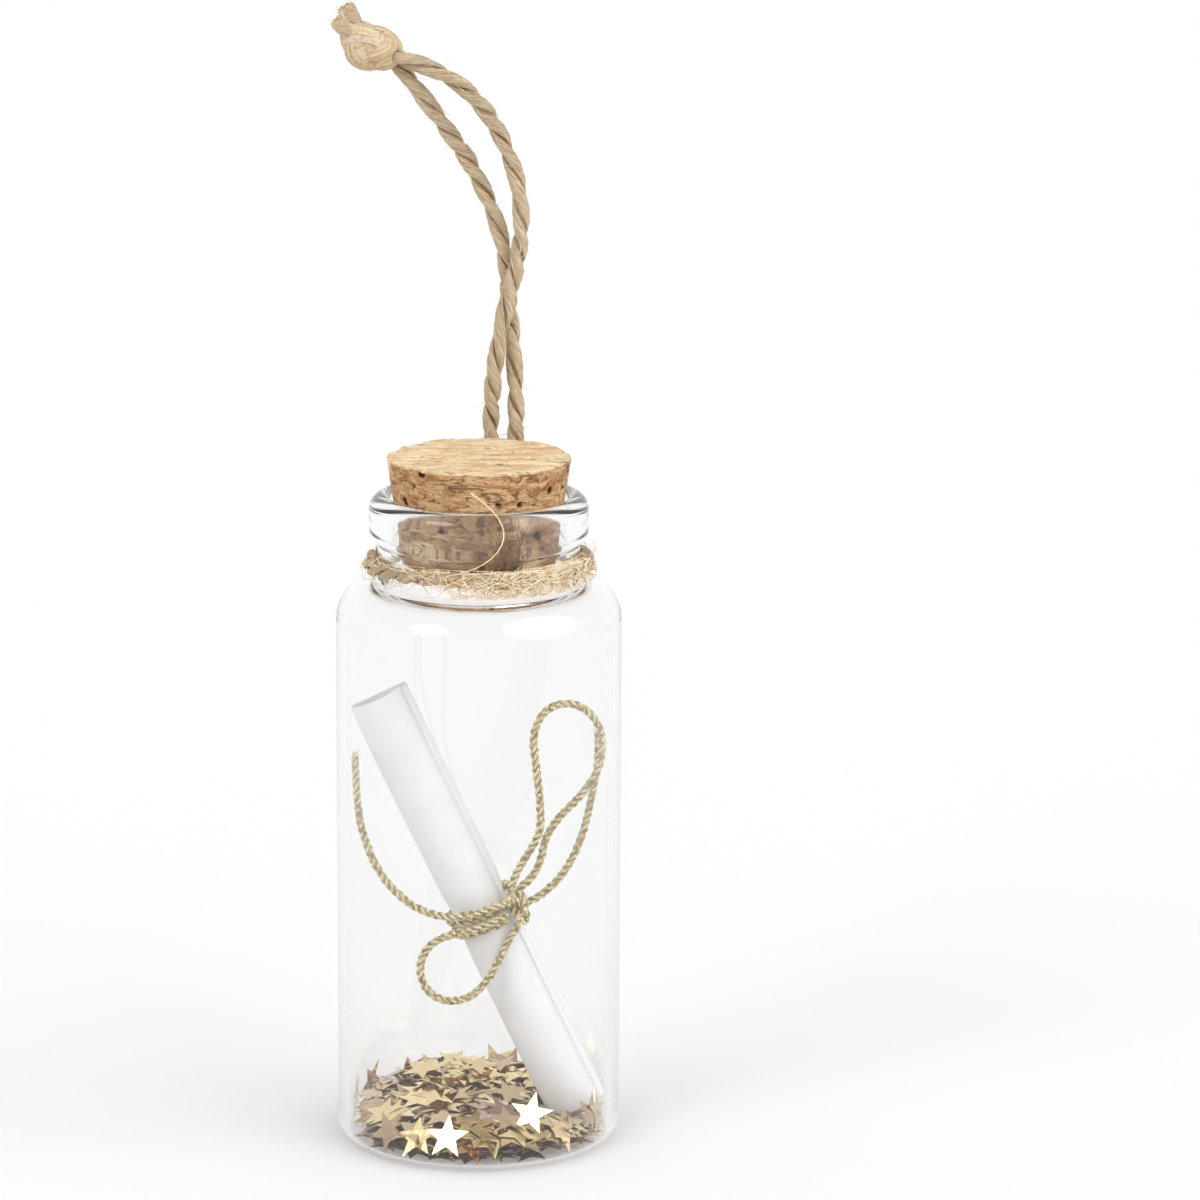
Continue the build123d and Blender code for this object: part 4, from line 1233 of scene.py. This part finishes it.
class BOTTLE_OT_confetti(bpy.types.Operator):
    """Drop the foil stars on the bottle's floor"""
    bl_idname = "bottle.confetti"
    bl_label = "Star confetti"

    # Tone of the stars that lie on the glass, from gold at 0 through rose to amber above 0.9. Their rose is
    # painted shade under the heap
    ROSE = 0.8
    # How far the stars on the glass are pressed down
    PRESSED = 0.08 * MM
    # How far apart the places are where the heap's height is kept
    CELL = 0.3 * MM
    # How far the stars stay from the glass and the message's side, and from the message's foot
    CLEAR = 0.3 * MM
    CLEAR_FOOT = 0.2 * MM
    # The steepest slope that a fallen star rests at, and how unevenly it follows the slope below it
    STEEPEST = 0.45
    UNEVEN = 0.1
    # How many places a falling star chooses from
    TRIES = 7
    # How much the stars curl, as their rise for each metre across, squared
    CURL = 9
    # Rings of stars that lie flat on the glass: each one's radius in millimetres and its number of stars
    FLAT_RINGS = [(11.5, 22), (10.4, 19), (7.2, 13), (3.4, 6)]
    # Single stars that show at the glass: the middle in millimetres, the way that they face (from the
    # front towards the right, and up), their turn in degrees, and their tone from gold through rose (painted
    # shade) to amber
    SHOWN = [
        ((-3.05, -12.6, 3.6), (-19, 27), -15, 0.0), ((5.6, -9.0, 5.2), (-17, 33), -22, 0.0),
        ((-6.8, -11.8, 3.1), (-26, 38), -6, 0.0), ((-11.0, -6.8, 4.4), (-50, 62), 10, 0.1),
        ((-0.5, -12.9, 2.4), (4, 44), 30, 0.95), ((1.7, -12.2, 3.1), (14, 50), 15, 0.2),
        ((-9.6, -9.3, 3.1), (-45, 24), 30, 0.6), ((5.6, -11.6, 2.8), (14, 60), 50, 0.4),
        ((9.4, -9.2, 3.2), (45, 40), 5, 0.5), ((11.7, -6.0, 4.2), (63, 12), 22, 0.6),
        ((13.2, -1.3, 4.2), (84, 6), 8, 0.5), ((12.4, -4.5, 4.1), (70, 10), 44, 0.3),
        ((-12.9, -3.0, 4.1), (-77, 8), 18, 0.3), ((-13.3, 0.6, 4.3), (-90, 4), 40, 0.5),
        ((-12.2, 5.4, 4.2), (-114, 12), 12, 0.2), ((-8.4, 10.3, 3.8), (-140, 24), 33, 0.4),
        ((-2.0, 9.0, 3.9), (-10, 70), 12, 0.1), ((1.8, 12.9, 4.0), (8, 36), 0, 0.2),
        ((3.4, 11.6, 4.0), (10, 44), 30, 0.6), ((-6.2, 11.3, 3.8), (-20, 50), 20, 0.15),
        ((7.0, 11.0, 3.7), (20, 50), 48, 0.6), ((11.0, 7.4, 3.7), (125, 12), 10, 0.4),
        ((2.2, -3.4, 3.6), (0, 76), 33, 0.1), ((-4.8, -4.6, 3.4), (-30, 72), 5, 0.4)]

    def execute(self, context):
        self.settings = context.scene.bottle_confetti
        self.glass = context.scene.bottle_glass
        self.draws = np.random.default_rng(self.settings.seed)
        self.radius = self.settings.star / 2
        self.inner = self.glass.body / 2 - self.glass.wall
        self.roll = message_axis()
        self.reach = math.ceil(self.inner / self.CELL)
        spots = np.arange(-self.reach, self.reach + 1) * self.CELL
        self.x, self.y = np.meshgrid(spots, spots, indexing="ij")
        self.level = self.floor_level(np.hypot(self.x, self.y))
        self.stars = []
        for away, count in self.FLAT_RINGS:
            for i in range(count):
                angle = i * FULL_TURN / count + away
                x, y = away * MM * math.cos(angle), away * MM * math.sin(angle)
                self.settle(x, y, self.ROSE, self.PRESSED)
        self.drop_all()
        for place, (aside, up), turn, tone in self.SHOWN:
            facing = math.radians(aside), math.radians(up)
            self.show_star(np.array(place) * MM, *facing, math.radians(turn), tone)
        self.build()
        return {"FINISHED"}

    def floor_level(self, away):
        """Height of the bottle's inner floor at a distance from its axis."""
        heel = self.glass.heel - self.glass.wall
        flat = self.inner - heel
        dome = self.glass.base + self.glass.crown * (1 - np.minimum(away / flat, 1) ** 2)
        rise = heel - np.sqrt(np.maximum(heel ** 2 - np.clip(away - flat, 0, heel) ** 2, 0))
        return np.where(away > self.inner, 1.0, dome + rise)

    def star_reach(self, angle):
        """Distance from a star's middle to its outline."""
        part = np.abs((angle / FULL_TURN * 5) % 1 - 0.5) * 2
        tip, notch = self.radius, self.radius * self.settings.notch
        fifth = math.pi / 5
        turn = (1 - part) * fifth
        return tip * notch * math.sin(fifth) / (tip * np.sin(turn) + notch * np.sin(fifth - turn))

    def in_the_way(self, points):
        """True if a point lies in the rolled message."""
        local = points - self.roll.foot
        along = local @ self.roll.way
        away = np.linalg.norm(local - along[:, None] * self.roll.way, axis=1)
        return bool(np.any((along > -self.CLEAR_FOOT) & (away < self.roll.radius + self.CLEAR)))

    def drop_all(self):
        """Stars fall one by one where the heap is lowest, and settle on what lies there."""
        for _ in range(self.settings.most * 3):
            if len(self.stars) >= self.settings.most:
                break
            tries = [self.random_spot() for _ in range(self.TRIES)]
            want = [self.wanted(x, y) - self.level_at(x, y) for x, y in tries]
            best = int(np.argmax(want))
            if want[best] < 0.1 * MM:
                continue
            self.settle(*tries[best])

    def random_spot(self):
        away = (self.inner - self.radius * 0.82) * math.sqrt(self.draws.random())
        angle = self.draws.uniform(0, FULL_TURN)
        return away * math.cos(angle), away * math.sin(angle)

    def wanted(self, x, y):
        """Height that the heap should reach at a place, deeper at the back and at both ends."""
        s = self.settings
        depth = s.front + (s.back - s.front) * (1 + y / self.inner) / 2 + s.side * (x / self.inner) ** 2
        uneven = 0.35 * MM * math.sin(x * 520 + 1) * math.sin(y * 430)
        return self.glass.base + self.glass.crown + depth + uneven

    def level_at(self, x, y):
        i, j = (np.clip(np.round(np.asarray(v) / self.CELL).astype(int) + self.reach, 0, 2 * self.reach)
                for v in (x, y))
        return self.level[i, j]

    def settle(self, x, y, tone=None, pressed=0.0):
        """One star comes to rest on the heap below it, tilted to fit, unless the message is in its way.
        pressed brings it down against the glass, so that it shows through the base."""
        heading = self.draws.uniform(0, FULL_TURN)
        angles = heading + np.arange(10) * FULL_TURN / 10
        reaches = np.where(np.arange(10) % 2, self.radius * self.settings.notch, self.radius)
        dx = np.append(reaches * np.cos(angles), 0)
        dy = np.append(reaches * np.sin(angles), 0)
        over = np.hypot(x + dx, y + dy).max() - (self.inner - self.CLEAR)
        if over > 0:
            x, y = (v * (1 - over / max(math.hypot(x, y), 1e-6)) for v in (x, y))
        level = self.level_at(x + dx, y + dy)
        level = np.where(level > 0.5, self.level_at(x, y), level)
        slope_x = (level * dx).sum() / (dx * dx).sum() + self.draws.normal() * self.UNEVEN
        slope_y = (level * dy).sum() / (dy * dy).sum() + self.draws.normal() * self.UNEVEN
        steep = math.hypot(slope_x, slope_y)
        if steep > self.STEEPEST:
            slope_x, slope_y = slope_x * self.STEEPEST / steep, slope_y * self.STEEPEST / steep
        middle = (level - slope_x * dx - slope_y * dy).max() + self.settings.foil - pressed
        normal = unit(np.array((-slope_x, -slope_y, 1.0)))
        tips = np.stack([x + dx, y + dy, middle + slope_x * dx + slope_y * dy], 1)
        if self.in_the_way(tips):
            return
        tone = self.draws.random() ** 1.6 * 0.93 if tone is None else tone
        self.stars.append((np.array((x, y, middle)), normal, heading, tone))
        away = np.hypot(self.x - x, self.y - y)
        near = away < self.radius
        angle = np.arctan2(self.y[near] - y, self.x[near] - x) - heading
        covered = away[near] < self.star_reach(angle + math.pi / 5)
        raised = middle + slope_x * (self.x[near] - x) + slope_y * (self.y[near] - y)
        self.level[near] = np.where(covered, np.maximum(self.level[near], raised), self.level[near])

    def show_star(self, middle, aside, up, turn, tone):
        """One star from the list, moved in until all its points are inside the glass."""
        normal = np.array((math.sin(aside) * math.cos(up), -math.cos(aside) * math.cos(up), math.sin(up)))
        across = unit(np.cross((0, 0, 1.0), normal))
        above = np.cross(normal, across)
        points = turn + math.pi / 2 + np.arange(5) * FULL_TURN / 5
        tips = self.radius * (np.cos(points)[:, None] * across + np.sin(points)[:, None] * above)
        for _ in range(20):
            away = np.hypot(*(middle + tips)[:, :2].T)
            over = away.max() - (self.inner - 0.25 * MM)
            if over <= 0:
                break
            middle[:2] -= (middle + tips)[away.argmax(), :2] / away.max() * over
        low = (middle + tips)[:, 2].min() - self.glass.base - self.glass.crown - 0.1 * MM
        middle[2] -= min(low, 0)
        if not self.in_the_way(middle + tips):
            self.stars.append((middle, normal, turn, tone))

    def build(self):
        """All the stars as one mesh, each a thin five-pointed sheet with a slight curl."""
        heap = bmesh.new()
        tones = []
        for place, normal, heading, tone in self.stars:
            before = len(heap.verts)
            made = bmesh.ops.create_circle(heap, cap_ends=True, segments=10, radius=self.radius)["verts"]
            face = made[0].link_faces[0]
            for i, vert in enumerate(made):
                if i % 2:
                    vert.co *= self.settings.notch
            bmesh.ops.translate(heap, verts=made, vec=(0, 0, -self.settings.foil / 2))
            lid = bmesh.ops.extrude_face_region(heap, geom=[face], use_keep_orig=True)
            bmesh.ops.translate(heap, verts=[v for v in lid["geom"] if isinstance(v, bmesh.types.BMVert)],
                                vec=(0, 0, self.settings.foil))
            heap.verts.ensure_lookup_table()
            own = heap.verts[before:]
            curl = self.draws.normal() * self.CURL
            for vert in own:
                vert.co.z += curl * vert.co.x ** 2
            flat = abs(normal[2]) >= 0.9999
            across = np.array((1.0, 0, 0)) if flat else unit(np.cross((0, 0, 1.0), normal))
            facing = Matrix(np.array([across, np.cross(normal, across), normal]).T).to_4x4()
            pose = Matrix.Translation(place) @ facing @ Matrix.Rotation(heading + math.pi / 2, 4, "Z")
            bmesh.ops.transform(heap, matrix=pose, verts=own)
            tones += [tone] * len(own)
        bmesh.ops.recalc_face_normals(heap, faces=heap.faces)
        mesh = bpy.data.meshes.new("confetti")
        heap.to_mesh(mesh)
        heap.free()
        set_values(mesh, "tone", np.array(tones))
        layers = [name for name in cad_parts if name.startswith("star_confetti")]
        piece = new_piece("star_confetti", mesh, "contents", foil_finish(), layers)
        mesh.polygons.foreach_set("use_smooth", [False] * len(mesh.polygons))
        piece.data.update()


class BOTTLE_PT_panel(bpy.types.Panel):
    """The buttons that make the bottle, one for each piece or group"""
    bl_idname = "BOTTLE_PT_panel"
    bl_label = "Message in a bottle"
    bl_space_type = "VIEW_3D"
    bl_region_type = "UI"
    bl_category = "Bottle"

    def draw(self, context):
        for operator in OPERATORS:
            self.layout.operator(operator.bl_idname)


SETTINGS = {
    "bottle_stage": StageSettings,
    "bottle_twine": TwineSettings,
    "bottle_cord": CordSettings,
    "bottle_glass": GlassSettings,
    "bottle_cork": CorkSettings,
    "bottle_message": MessageSettings,
    "bottle_confetti": ConfettiSettings,
}
OPERATORS = (BOTTLE_OT_stage, BOTTLE_OT_twine, BOTTLE_OT_gold_cord, BOTTLE_OT_glass, BOTTLE_OT_cork,
             BOTTLE_OT_message, BOTTLE_OT_confetti)


def register():
    for group in SETTINGS.values():
        bpy.utils.register_class(group)
    for name, group in SETTINGS.items():
        setattr(bpy.types.Scene, name, PointerProperty(type=group))
    for kind in (*OPERATORS, BOTTLE_PT_panel):
        bpy.utils.register_class(kind)


def unregister():
    for kind in (BOTTLE_PT_panel, *reversed(OPERATORS)):
        bpy.utils.unregister_class(kind)
    for name, group in reversed(SETTINGS.items()):
        delattr(bpy.types.Scene, name)
        bpy.utils.unregister_class(group)


def main():
    register()
    bpy.ops.bottle.stage()
    bpy.ops.bottle.twine()
    bpy.ops.bottle.gold_cord()
    bpy.ops.bottle.glass()
    bpy.ops.bottle.cork()
    bpy.ops.bottle.message()
    bpy.ops.bottle.confetti()


if __name__ == "__main__":
    main()
